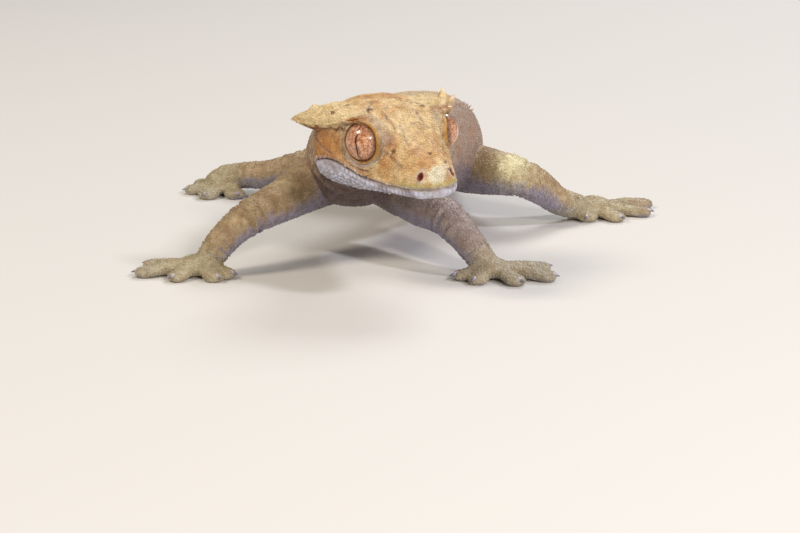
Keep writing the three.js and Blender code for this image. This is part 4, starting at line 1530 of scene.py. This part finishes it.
@dataclass(frozen=True)
class HideFinish:
    """Living leather: the mesh's own markings broken up by fine noise, with small grain in its surface, and
    painted shade between its scales.
    """

    name: str
    dry: float
    wet: float
    grained: bool = False

    def material(self) -> bpy.types.Material:
        """Makes the material."""
        made = Shader.new(self.name)
        where = made.node("ShaderNodeTexCoord").outputs["Object"]
        blotch = made.noise(where, 900, 4)
        shares = [made.ramp(blotch, 0.3, 0.7, low, 1.12) for low in (0.76, 0.7, 0.62)]
        colour = made.times(made.attribute("marking", "Color"), shares)
        if self.grained:
            # darker toward each grain's root and a little brighter at its top: painted shade between the
            # grains
            rim = made.ramp(made.attribute("tip"), 0.35, 0.9, 0.7, 1.08)
            colour = made.times(colour, [rim, made.math("POWER", rim, 1.15), made.math("POWER", rim, 1.35)])
        speck = made.ramp(made.noise(where, 3200, 2), 0.62, 0.74)
        rust = rgba(Hue.RUST.value)
        colour = made.mix(made.math("MULTIPLY", speck, 0.22), colour, rust)
        lines = made.ramp(made.cells(where, 3300.0), 0.0, 0.28)
        if not self.grained:
            # darker rust toward the cells' edges, where the bump sinks: painted shade between the scales
            colour = made.mix(made.math("MULTIPLY", made.ramp(lines, 0.0, 0.6, 1.0, 0.0), 0.3), colour, rust)
        scales = made.math("MULTIPLY", lines, 0.0 if self.grained else 0.5)
        high = made.math("ADD", scales, made.math("MULTIPLY", made.noise(where, 1500, 4), 0.5))
        rough = made.math("ADD", made.ramp(made.attribute("wet"), 0.0, 1.0, self.dry, self.wet),
                          made.ramp(made.noise(where, 2200, 2), 0.3, 0.7, -0.06, 0.06))
        made.set(Base_Color=colour, Roughness=rough, Normal=made.relief(high, 0.55, 0.00012))
        made.set(Subsurface_Weight=0.12, Subsurface_Radius=(1.0, 0.45, 0.25), Subsurface_Scale=0.0012)
        return made.material


@dataclass(frozen=True)
class EyeFinish:
    """A wet eye: a copper iris with dark veins and a slit pupil, read from the ball's own directions."""

    copper: str = "#bd7848"
    pale: str = "#dfab82"
    bloom: str = "#e9c0a2"
    vein: str = "#74341a"
    small_vein: str = "#7a3119"
    rim: str = "#3a140b"
    halo: str = "#8a3c20"
    pupil: str = "#120605"
    slit_lean: float = 0.13
    slit_offset: float = 0.14

    def material(self) -> bpy.types.Material:
        """Makes the material."""
        made = Shader.new("wet eye")
        gaze = made.attribute("gaze", "Vector")
        parts = made.node("ShaderNodeSeparateXYZ", Vector=gaze)
        back, up = parts.outputs[0], parts.outputs[1]
        out = made.math("ADD", made.math("MULTIPLY", back, back), made.math("MULTIPLY", up, up))
        stretched = made.node("ShaderNodeMapping", Vector=gaze, Scale=(1.0, 0.55, 1.0)).outputs[0]
        warp = made.node("ShaderNodeTexNoise", Vector=gaze, Scale=3.2, Detail=3.0).outputs["Color"]
        bent = made.node("ShaderNodeVectorMath", {"operation": "MULTIPLY_ADD"}, i0=warp, i1=(0.5, 0.5, 0.5),
                         i2=stretched).outputs[0]
        veins = made.cells(bent, 5.2)
        aside = made.math("ABSOLUTE", made.math("SUBTRACT", back, self.slit_line(made, up)))
        aside = made.math("SUBTRACT", aside, made.ramp(made.math("ABSOLUTE", up), 0.3, 0.97, 0.03, 0.008))
        cloud = made.ramp(made.noise(gaze, 4.5, 5, 0.6), 0.32, 0.68)
        colour = made.mix(cloud, rgba(self.copper), rgba(self.pale))
        for share, over in (
            (made.ramp(made.noise(gaze, 7, 3), 0.42, 0.7, 0.0, 0.5), self.bloom),
            (made.ramp(veins, 0.0, 0.1, 0.9, 0.0), self.vein),
            (made.ramp(made.cells(bent, 13.0), 0.0, 0.07, 0.25, 0.0), self.small_vein),
            (made.ramp(made.math("SQRT", out), 0.7, 0.95, 0.0, 0.85), self.rim),
            (made.ramp(aside, 0.0, 0.09, 0.6, 0.0), self.halo),
            (made.ramp(aside, 0.0, 0.016, 1.0, 0.0), self.pupil),
        ):
            colour = made.mix(share, colour, rgba(over))
        made.set(Base_Color=colour, Roughness=0.32, Coat_Weight=1.0, Coat_Roughness=0.03, IOR=1.4,
                 Normal=made.relief(veins, 0.12, 0.0002), Subsurface_Weight=0.05, Subsurface_Scale=0.0008)
        return made.material

    def slit_line(self, made: Shader, up: bpy.types.NodeSocket) -> bpy.types.NodeSocket:
        """The wavy, leaning middle of the pupil.

        Args:
            made: the material under construction.
            up: height on the eye.

        Returns:
            How far back the pupil's middle lies at that height.
        """
        waves = [made.math("MULTIPLY", made.math("SINE", made.math("MULTIPLY", up, rate)), height)
                 for rate, height in ((8.5, 0.022), (23.0, 0.01))]
        lean = made.math("SUBTRACT", made.math("MULTIPLY", up, self.slit_lean), self.slit_offset)
        return made.math("ADD", made.math("ADD", *waves), lean)


@dataclass(frozen=True)
class HornFinish:
    """Pale translucent horn, darker toward the claw's tip."""

    pale: str = "#cfc9da"
    dark: str = "#6b6373"

    def material(self) -> bpy.types.Material:
        """Makes the material."""
        made = Shader.new("horn")
        colour = made.mix(made.ramp(made.attribute("tip"), 0.25, 0.85), rgba(self.pale), rgba(self.dark))
        made.set(Base_Color=colour, Roughness=0.28, Coat_Weight=0.4, Coat_Roughness=0.15,
                 Subsurface_Weight=0.15, Subsurface_Scale=0.0006)
        return made.material


# Repeated things, by Geometry Nodes


@dataclass(frozen=True)
class Profile:
    """A small closed piece to repeat, one unit wide, along +z.

    Its rings are pairs of half width and height, and the last has a width of nought, which closes the piece
    in a point. Its lean says how far its top is carried toward +x.
    """

    rings: tuple[tuple[float, float], ...]
    sides: int
    lean: float = 0.0

    def points(self) -> tuple[list[Triple], list[list[int]]]:
        """The corner points, and the numbers of each ring's points."""
        points, rows = [], []
        for wide, height in self.rings:
            lean = self.lean * max(height, 0) ** 2
            angles = circle(self.sides) if wide else (0.0,)
            rows.append(list(range(len(points), len(points) + len(angles))))
            points += [(wide * math.cos(angle) + lean, wide * math.sin(angle), height) for angle in angles]
        return points, rows

    def faces(self, rows: list[list[int]]) -> list[tuple[int, ...]]:
        """The faces over and between the rings.

        Args:
            rows: the numbers of each ring's points.

        Returns:
            The faces, the root's last.
        """
        faces = []
        for lower, upper in zip(rows, rows[1:]):
            for k in range(self.sides):
                j = (k + 1) % self.sides
                top = (upper[0],) if len(upper) == 1 else (upper[j], upper[k])
                faces.append((lower[k], lower[j], *top))
        return faces + [tuple(reversed(rows[0]))]


class Grain(Enum):
    """The small pieces that are repeated over the body."""

    DOME = Profile(((0.52, -0.12), (0.5, 0.04), (0.34, 0.18), (0.0, 0.24)), 6)
    BEAD = Profile(((0.52, -0.1), (0.38, 0.16), (0.0, 0.25)), 5)
    PLATE = Profile(((0.5, -0.15), (0.5, 0.05), (0.4, 0.17), (0.0, 0.21)), 7)
    THORN = Profile(((1.0, -0.4), (0.8, 0.15), (0.42, 0.6), (0.0, 1.0)), 6, 0.35)
    HOOK = Profile(((1.0, -0.5), (0.95, 0.1), (0.6, 0.5), (0.28, 0.82), (0.0, 1.0)), 8, 0.55)

    def build(self) -> bpy.types.Object:
        """The piece as an object, which carries its own directions and the height toward its tip."""
        points, rows = self.value.points()
        name = self.name.lower()
        mesh = bpy.data.meshes.new(name)
        mesh.from_pydata([tuple(c * MM for c in p) for p in points], [], self.value.faces(rows))
        wide = max(w for w, _ in self.value.rings)
        low, high = self.value.rings[0][1], self.value.rings[-1][1]
        put_vectors(mesh, local=np.array([(x / wide, y / wide, z) for x, y, z in points]))
        put_numbers(mesh, tip=np.array([(z - low) / (high - low) for _, _, z in points]))
        return linked(name, mesh)


@dataclass
class Tree(Nodes):
    """A Geometry Nodes tree under construction."""

    inputs: dict[str, str] = field(default_factory=dict)

    @staticmethod
    def new(name: str, **sockets: str) -> Tree:
        """An empty tree.

        Args:
            name: its name.
            sockets: the kinds of its inputs, by label.

        Returns:
            The tree, with one geometry output.
        """
        tree = bpy.data.node_groups.new(name, "GeometryNodeTree")
        tree.interface.new_socket("Geometry", in_out="INPUT", socket_type="NodeSocketGeometry")
        made = Tree(tree)
        for label, kind in sockets.items():
            socket = tree.interface.new_socket(label, in_out="INPUT", socket_type=f"NodeSocket{kind}")
            made.inputs[label] = socket.identifier
        tree.interface.new_socket("Geometry", in_out="OUTPUT", socket_type="NodeSocketGeometry")
        tree.nodes.new("NodeGroupInput").name = "in"
        tree.nodes.new("NodeGroupOutput").name = "out"
        return made

    def given(self, label: str) -> bpy.types.NodeSocket:
        """The value of a named input."""
        return self.tree.nodes["in"].outputs[label]

    def finish(
        self, points: bpy.types.NodeSocket, turned: bpy.types.NodeSocket, scale: bpy.types.NodeSocket,
    ) -> None:
        """Sets the grain object on points, makes it real and gives it its material.

        Args:
            points: where it is set.
            turned: how it is turned at each point.
            scale: how large it is at each point.
        """
        grain = self.node("GeometryNodeObjectInfo", Object=self.given("Grain"))
        placed = self.node("GeometryNodeInstanceOnPoints", Points=points, Instance=grain.outputs["Geometry"],
                           Rotation=turned, Scale=scale)
        real = self.node("GeometryNodeRealizeInstances", Geometry=placed.outputs[0])
        rounded = self.node("GeometryNodeSetShadeSmooth", Geometry=real.outputs[0])
        painted = self.node("GeometryNodeSetMaterial", Geometry=rounded.outputs[0],
                            Material=self.given("Material"))
        self.fill(self.tree.nodes["out"].inputs[0], painted.outputs[0])

    def run(self, name: str, base: bpy.types.Object, **values: object) -> bpy.types.Object:
        """Makes a piece from a base object's mesh.

        Args:
            name: the piece's name.
            base: the object whose mesh the tree starts from.
            values: the tree's inputs, by label.

        Returns:
            The dressed piece, a plain mesh with its flat map.
        """
        made = linked(name, base.data)
        modifier = made.modifiers.new("tree", "NODES")
        modifier.node_group = self.tree
        for label, value in values.items():
            modifier[self.inputs[label]] = value
        unwrap_pieces(applied(made).data)
        return dress(made, "skin")


def scatter_tree() -> Tree:
    """Grains at even random distances over a surface, where the mesh's share of grain is not nought."""
    made = Tree.new("scattered grain", Grain="Object", Material="Material", Distance="Float", Density="Float",
                    Share="String", Small="Float", Large="Float", Seed="Int")
    share = made.node("GeometryNodeInputNamedAttribute", {"data_type": "FLOAT"}, Name=made.given("Share"))
    spread = made.node("GeometryNodeDistributePointsOnFaces", {"distribute_method": "POISSON"},
                       Mesh=made.given("Geometry"), Distance_Min=made.given("Distance"),
                       Density_Max=made.given("Density"), Density_Factor=share.outputs[0],
                       Seed=made.given("Seed"))
    size = made.node("FunctionNodeRandomValue", {"data_type": "FLOAT"}, i2=made.given("Small"),
                     i3=made.given("Large"))
    spin = made.node("FunctionNodeRandomValue", {"data_type": "FLOAT"}, i3=2 * math.pi)
    euler = made.node("ShaderNodeCombineXYZ", Z=spin.outputs[1])
    turned = made.node("FunctionNodeRotateRotation", {"rotation_space": "LOCAL"},
                       Rotation=spread.outputs["Rotation"], Rotate_By=euler.outputs[0])
    made.finish(spread.outputs["Points"], turned.outputs[0], size.outputs[1])
    return made


def row_tree() -> Tree:
    """Pieces at the points of a mesh, each along the way and of the size that its point carries."""
    made = Tree.new("placed row", Grain="Object", Material="Material")
    cloud = made.node("GeometryNodeMeshToPoints", Mesh=made.given("Geometry"))
    way, lean, size = (
        made.node("GeometryNodeInputNamedAttribute", {"data_type": "FLOAT_VECTOR"}, Name=name).outputs[0]
        for name in ("way", "lean", "size")
    )
    up = made.node("FunctionNodeAlignRotationToVector", {"axis": "Z"}, Vector=way)
    on = made.node("FunctionNodeAlignRotationToVector", {"axis": "X", "pivot_axis": "Z"},
                   Rotation=up.outputs[0], Vector=lean)
    made.finish(cloud.outputs[0], on.outputs[0], size)
    return made


# Width of a grain's patch on the flat map, as a share of the map.
PATCH_WIDTH = 0.003


def unwrap_pieces(mesh: bpy.types.Mesh) -> None:
    """Gives each grain a small patch of the flat map at its root's place.

    Args:
        mesh: the grains' mesh.
    """
    roots, local = (vectors(mesh.attributes[name].data, "vector")[:, :2] for name in ("unwrap", "local"))
    corner = np.empty(len(mesh.loops), np.int32)
    mesh.loops.foreach_get("vertex_index", corner)
    flat = (roots + local * PATCH_WIDTH / 2)[corner]
    mesh.uv_layers.new(name="OFBake").data.foreach_set("uv", np.clip(flat, 0, 1).astype(np.float32).ravel())


@dataclass(frozen=True)
class Coat:
    """A coat of scattered grains: the share that it reads, and their least distance and sizes."""

    name: str
    share: str
    distance: float
    small: float
    large: float
    grain: Grain
    density: float = 5.0
    seed: int = 7

    def build(
        self, skin: bpy.types.Object, tree: Tree, grain: bpy.types.Object, material: bpy.types.Material,
    ) -> bpy.types.Object:
        """Scatters the grains over the skin.

        Args:
            skin: the finished skin.
            tree: the tree that scatters.
            grain: the piece to repeat.
            material: its finish.

        Returns:
            The dressed piece.
        """
        apart = self.distance * MM
        return tree.run(self.name, skin, Grain=grain, Material=material, Distance=apart,
                        Density=self.density / apart**2, Share=self.share, Small=self.small, Large=self.large,
                        Seed=self.seed)


COATS = (
    Coat("head_scales", "fine_grain", 0.44, 0.34, 0.50, Grain.DOME),
    Coat("jaw_scales", "plate_grain", 0.62, 0.55, 0.80, Grain.PLATE),
    Coat("front_scales", "front_grain", 0.52, 0.38, 0.56, Grain.BEAD),
    Coat("middle_scales", "middle_grain", 0.55, 0.40, 0.60, Grain.BEAD),
    Coat("rear_scales", "rear_grain", 0.55, 0.40, 0.60, Grain.BEAD),
)


# Rows of spines, lashes, plates and claws


@dataclass
class Row:
    """A row of small pieces, each at a place, along a way, leaning and of a size of its own."""

    name: str
    grain: Grain
    seed: int
    hue: Hue | None = None
    pieces: list[tuple[Array, ...]] = field(default_factory=list)

    def __post_init__(self) -> None:
        """Starts the row's random numbers and lays its pieces."""
        self.random = np.random.default_rng(self.seed)
        self.lay()

    def lay(self) -> None:
        """Lays the pieces, each kind of row in its own way."""

    def vary(self, low: float, more: float) -> float:
        """A random number from low to low and more."""
        return low + more * self.random.random()

    def add(self, at: Array, way: Array, lean: Array, size: Triple) -> None:
        """Adds a piece in the part's frame."""
        self.pieces.append((at, way, lean, np.array(size)))

    def add_to_head(self, at: Array, way: Array, lean: Array, size: Triple) -> None:
        """Adds a piece in the head's frame."""
        self.add(from_head(np.array(at)), HEAD_TURN @ np.array(way), HEAD_TURN @ np.array(lean), size)

    def build(
        self, shift: Array, tree: Tree, grain: bpy.types.Object, material: bpy.types.Material,
    ) -> bpy.types.Object:
        """Sets the pieces on a mesh of points that carries what the row tree reads.

        Args:
            shift: from the part's frame to the row frame.
            tree: the tree that places them.
            grain: the piece to repeat.
            material: its finish.

        Returns:
            The dressed piece.
        """
        points, way, lean, size = (np.array(rows) for rows in zip(*self.pieces))
        mesh = bpy.data.meshes.new(f"{self.name} roots")
        mesh.from_pydata(((points + shift) * MM).tolist(), [], [])
        place = Place(points, unit(way))
        markings = Markings(place)
        colour = layered(markings.colour, (self.hue, 0.85)) if self.hue else markings.colour
        put_vectors(mesh, way=place.normal, lean=lean, size=size, marking=colour, unwrap=place.unwrap)
        put_numbers(mesh, wet=markings.wet)
        base = linked(mesh.name, mesh)
        made = tree.run(self.name, base, Grain=grain, Material=material)
        bpy.data.objects.remove(base)
        return made


@dataclass
class CrestSpines(Row):
    """Spines of both crests, over the eyes and to the tips behind the cheeks."""

    count: int = 34
    # The tall spikes over the left eye: root, way, half width and height.
    spikes: tuple[tuple[Triple, Triple, float, float], ...] = (
        ((11.3, 19.4, 9.0), (0.05, 0.1, 1.0), 2.1, 2.9), ((10.1, 16.3, 9.4), (0.85, 0.05, 0.75), 1.7, 3.0),
        ((9.2, 14.2, 9.7), (0.9, -0.1, 0.35), 0.9, 1.4),
    )

    def lay(self) -> None:
        """Lays the spines along each crest's edge, and then the spikes."""
        last = len(CREST) - 1
        for side in SIDES:
            mirror = np.array([side, 1, 1])
            for share in np.linspace(0, 1, self.count):
                place = 1.2 + (last - 1.22) * share + self.random.uniform(-0.02, 0.02)
                x, y, z, thick = smooth(CREST, place)[0]
                ahead, behind = smooth(CREST, min(place + 0.2, last))[0], smooth(CREST, place - 0.2)[0]
                along = unit((ahead - behind)[:3])
                brow = bump(y, 16.5, 2.8)
                low = (0.45 + 0.4 * thick) * step(y, 12, 17)
                way = np.array([0.9, 0.1, 0.6 * brow - 0.25 * (low > 0.3)]) + along * 0.7 * share
                tall = self.vary(1.0, 0.55) * (0.65 + 0.6 * brow) * (0.4 + 0.6 * min(share / 0.2, 1))
                wide = 0.42 * self.vary(0.8, 0.4)
                self.add_to_head(np.array([(x - 0.2) * side, y, z - low]), way * mirror, along * mirror,
                                 (wide, wide, tall))
        for at, way, wide, tall in self.spikes:
            self.add_to_head(at, way, (0.0, 1.0, 0.0), (wide, 0.75 * wide, tall))


@dataclass
class Lashes(Row):
    """Soft lashes along the upper edge of each eye's rim."""

    count: int = 17
    start: float = 34.0
    sweep: float = 44.0
    width: float = 0.24
    length: float = 0.95

    def lay(self) -> None:
        """Lays the lashes round the rear of each upper lid."""
        for eye in EYES:
            for share in np.linspace(0, 1, self.count):
                out = eye.out(math.radians(self.start + self.sweep * share))
                at = eye.centre + out * (4.35 - 0.5 * share**0.6) + eye.way * 1.4
                tall = self.length * self.vary(0.7, 0.5) * (0.65 + 0.35 * math.sin(math.pi * share))
                way = eye.way * 0.75 + out * 0.75 + eye.back * self.vary(0.1, 0.4)
                self.add_to_head(at, way, eye.back, (self.width, self.width, tall))


@dataclass
class BackSpines(Row):
    """Two rows of small spines along the back, from the nape to the root of the tail."""

    start: float = 0.75
    end: float = 7.6
    spacing: float = 1.15
    width: float = 0.32
    length: float = 0.95

    def lay(self) -> None:
        """Lays both rows, each spine a little further than the last."""
        for side in SIDES:
            place = self.start
            while place < self.end:
                (middle,), (left,), (up,), (along,) = frames(SPINE[:, :3], np.array([place]))
                w, h = smooth(SPINE[:, 3:], place)[0]
                angle = math.radians(50 + 2 * self.random.uniform(-1, 1))
                c, s = superellipse(angle, 2.2)
                way = left * side * math.cos(angle) + up * math.sin(angle) + along * 0.5
                tall = self.length * self.vary(0.75, 0.5) * min(1.0, 0.5 + (7.8 - place) / 2)
                at = middle + left * side * w * c + up * h * s
                self.add(at - way * 0.1, way, along, (self.width, self.width, tall))
                ahead, behind = (smooth(SPINE[:, :3], place + gap) for gap in (0.01, -0.01))
                place += self.spacing * self.vary(0.85, 0.3) / (float(np.linalg.norm(ahead - behind)) / 0.02)


@dataclass
class LipPlates(Row):
    """The plates that edge the lower lip, in a front row and two rows along each side."""

    front: int = 5
    # The side rows: height from the mouth's line, width, length, and where each starts and ends.
    rows: tuple[tuple[float, ...], ...] = ((-0.62, 1.0, 0.98, 0.12, 22.0), (-1.5, 0.85, 0.9, 8.0, 20.5))

    def lay(self) -> None:
        """Lays the plates over the chin, and then those of each side."""
        for k in range(self.front):
            x = 0.95 * (k - self.front // 2)
            self.add_to_head((x, -0.42 + 0.03 * x * x, 0.2), (0.12 * x, -1.0, 0.0), UP, (0.95, 0.9, 0.6))
        for offset, tall, long, start, end in self.rows:
            for side in SIDES:
                y = start
                while y < end:
                    at, way, slope = self.on_jaw(side, y, offset)
                    wide, deep = tall * self.vary(0.9, 0.2), long * self.vary(0.92, 0.16)
                    size = (wide, deep, 0.6 + 0.3 * min(y / 9, 1))
                    self.add_to_head(at, way, unit(UP - way * way[2]), size)
                    y += long * 0.93 / math.sqrt(1 + slope * slope)

    def on_jaw(self, side: int, y: float, offset: float) -> tuple[Array, Array, float]:
        """A place on the side of the jaw.

        Args:
            side: 1 for the left and -1 for the right.
            y: distance back.
            offset: height from the mouth's line.

        Returns:
            The place, the way out of the jaw there, and how fast the jaw widens.
        """
        near = 0.2
        z = float(mouth_height(y)[0]) + offset
        w, top, bot, wide, square = head_station(y)[0]
        reach = (z - wide) / (top - wide) if z > wide else (wide - z) / (wide - bot)
        power = square if z > wide else 2.2
        x = w * max(0.0, 1 - min(abs(reach), 1) ** power) ** (1 / power)
        behind = max(y - near, 0)
        slope = (head_station(y + near)[0, 0] - head_station(behind)[0, 0]) / (y + near - behind)
        way = unit(np.array([side * 1.0, -slope, 0.9 * (z - wide) / 3.5]))
        return np.array([x * side, y, z]) + way * 0.24, way, slope


@dataclass
class Claws(Row):
    """One claw at the end of each finger and toe."""

    size: Triple = (0.42, 0.42, 1.35)
    height: float = 1.25

    def lay(self) -> None:
        """Lays the claws."""
        for foot in FEET:
            for tip in foot.tips:
                palm, reach, long = foot.reach(tip)
                at = palm + reach * (1 - 0.1 * foot.pad / long)
                at[2] = self.height
                self.add(at, reach / long + np.array([0, 0, -0.05]), -UP, self.size)


# The stage


@dataclass(frozen=True)
class Lamp:
    """A soft round light: place in metres, power in watts, width in metres and colour."""

    at: Triple
    power: float
    width: float
    colour: str

    def build(self, name: str) -> bpy.types.Object:
        """Makes the light, aimed at the animal's shoulders.

        Args:
            name: its name.

        Returns:
            The light.
        """
        data = bpy.data.lights.new(name, "AREA")
        data.energy = self.power
        data.shape = "DISK"
        data.size = self.width
        data.color = tuple(linear(self.colour))
        made = linked(name, data)
        made.location = self.at
        x, y, z = unit(np.array([0.02, -0.06, 0.015]) - np.array(self.at))
        made.rotation_euler = (math.acos(-z), 0.0, math.atan2(y, x) - math.pi / 2)
        return made


@dataclass
class Stage:
    """Floor, lights, even light from around and camera."""

    shift: Array
    half_floor: float = 3.0
    floor_colour: str = "#dedbd6"
    world_colour: str = "#f3f4f6"
    world_strength: float = 0.24
    lens: float = 113.4
    camera_at: Triple = (167.4, -429.3, 112.8)
    camera_down: float = 14.0
    camera_round: float = 20.0
    lamps: tuple[Lamp, ...] = (
        Lamp((0.46, -0.56, 0.36), 2.3, 0.10, "#fff6ea"), Lamp((-0.42, -0.42, 0.62), 3.2, 0.26, "#fff3e2"),
        Lamp((0.56, -0.12, 0.50), 2.2, 0.09, "#f4f4ff"), Lamp((0.05, 0.55, 0.55), 2.4, 0.35, "#ffffff"),
    )

    def build(self) -> None:
        """Sets the stage."""
        self.floor()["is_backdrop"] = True
        for k, lamp in enumerate(self.lamps):
            lamp.build(f"lamp{k}")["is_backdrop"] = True
        self.world()
        self.camera()

    def floor(self) -> bpy.types.Object:
        """A plain pale floor, wide enough to fill the picture."""
        mesh = bpy.data.meshes.new("floor")
        half = self.half_floor
        corners = [(x * half, y * half, 0) for x, y in ((-1, -1), (1, -1), (1, 1), (-1, 1))]
        mesh.from_pydata(corners, [], [(0, 1, 2, 3)])
        paint = Shader.new("pale floor")
        paint.set(Base_Color=rgba(self.floor_colour), Roughness=0.75)
        mesh.materials.append(paint.material)
        return linked("floor", mesh)

    def world(self) -> None:
        """An even glow from around."""
        world = bpy.data.worlds.new("studio")
        world.use_nodes = True
        glow = world.node_tree.nodes["Background"]
        glow.inputs["Color"].default_value = rgba(self.world_colour)
        glow.inputs["Strength"].default_value = self.world_strength
        bpy.context.scene.world = world

    def camera(self) -> None:
        """The photograph's framing and angle of view."""
        data = bpy.data.cameras.new("camera")
        data.lens = self.lens
        data.sensor_width = 36.0
        data.clip_start = 0.01
        made = linked("camera", data)
        made.location = (np.array(self.camera_at) + self.shift) * MM
        made.rotation_euler = (math.radians(90 - self.camera_down), 0, math.radians(self.camera_round))
        bpy.context.scene.camera = made
        bpy.context.scene.view_settings.view_transform = "Standard"


def numbers(bounds: object) -> object:
    """Bounds as plain lists of numbers.

    Args:
        bounds: a box, or boxes by name.

    Returns:
        The same numbers, ready to be written.
    """
    if hasattr(bounds, "items"):
        return {key: numbers(value) for key, value in bounds.items()}
    return [numbers(v) if hasattr(v, "__len__") else float(v) for v in bounds]


def dress(piece: bpy.types.Object, slot: str, *nodes: str) -> bpy.types.Object:
    """Says what a piece moves with, and hides the solids that it stands for.

    Args:
        piece: the piece.
        slot: not used.
        nodes: the solids that it stands for, if any.

    Returns:
        The piece.
    """
    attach(piece, "root")
    if nodes:
        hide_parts(*nodes)
    return piece


def report(piece: bpy.types.Object) -> bpy.types.Object:
    """Logs a finished piece, and hands it on."""
    log.info("%s: %d faces", piece.name, len(piece.data.polygons))
    return piece


def main() -> None:
    """Builds the scene."""
    logging.basicConfig(level=logging.INFO)
    low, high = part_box("eye_left")
    shift = np.array((low + high) / 2) / MM - from_head(np.array(HEAD.eye))
    leather = HideFinish("leather", 0.46, 0.2).material()
    grained = HideFinish("grained leather", 0.38, 0.17, True).material()
    horn = HornFinish().material()
    skin = report(Skin(shift).build(leather))
    grains = {grain: grain.build() for grain in Grain}
    scatter, placed = scatter_tree(), row_tree()
    for coat in COATS:
        report(coat.build(skin, scatter, grains[coat.grain], grained))
    for row, material in (
        (CrestSpines("crest_spines", Grain.THORN, 41), grained),
        (Lashes("lashes", Grain.THORN, 43, Hue.LASH), grained),
        (BackSpines("back_spines", Grain.THORN, 47), grained),
        (Claws("claws", Grain.HOOK, 0), horn),
        (LipPlates("lip_plates", Grain.PLATE, 53), grained),
    ):
        report(row.build(shift, placed, grains[row.grain], material))
    for piece in grains.values():
        bpy.data.objects.remove(piece)
    wet = EyeFinish().material()
    for eye in EYES:
        report(eye.build(shift, wet))
    Stage(shift).build()
    {"cad": numbers(CAD_BOUNDS), "visual": numbers(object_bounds())}


if __name__ == "__main__":
    main()
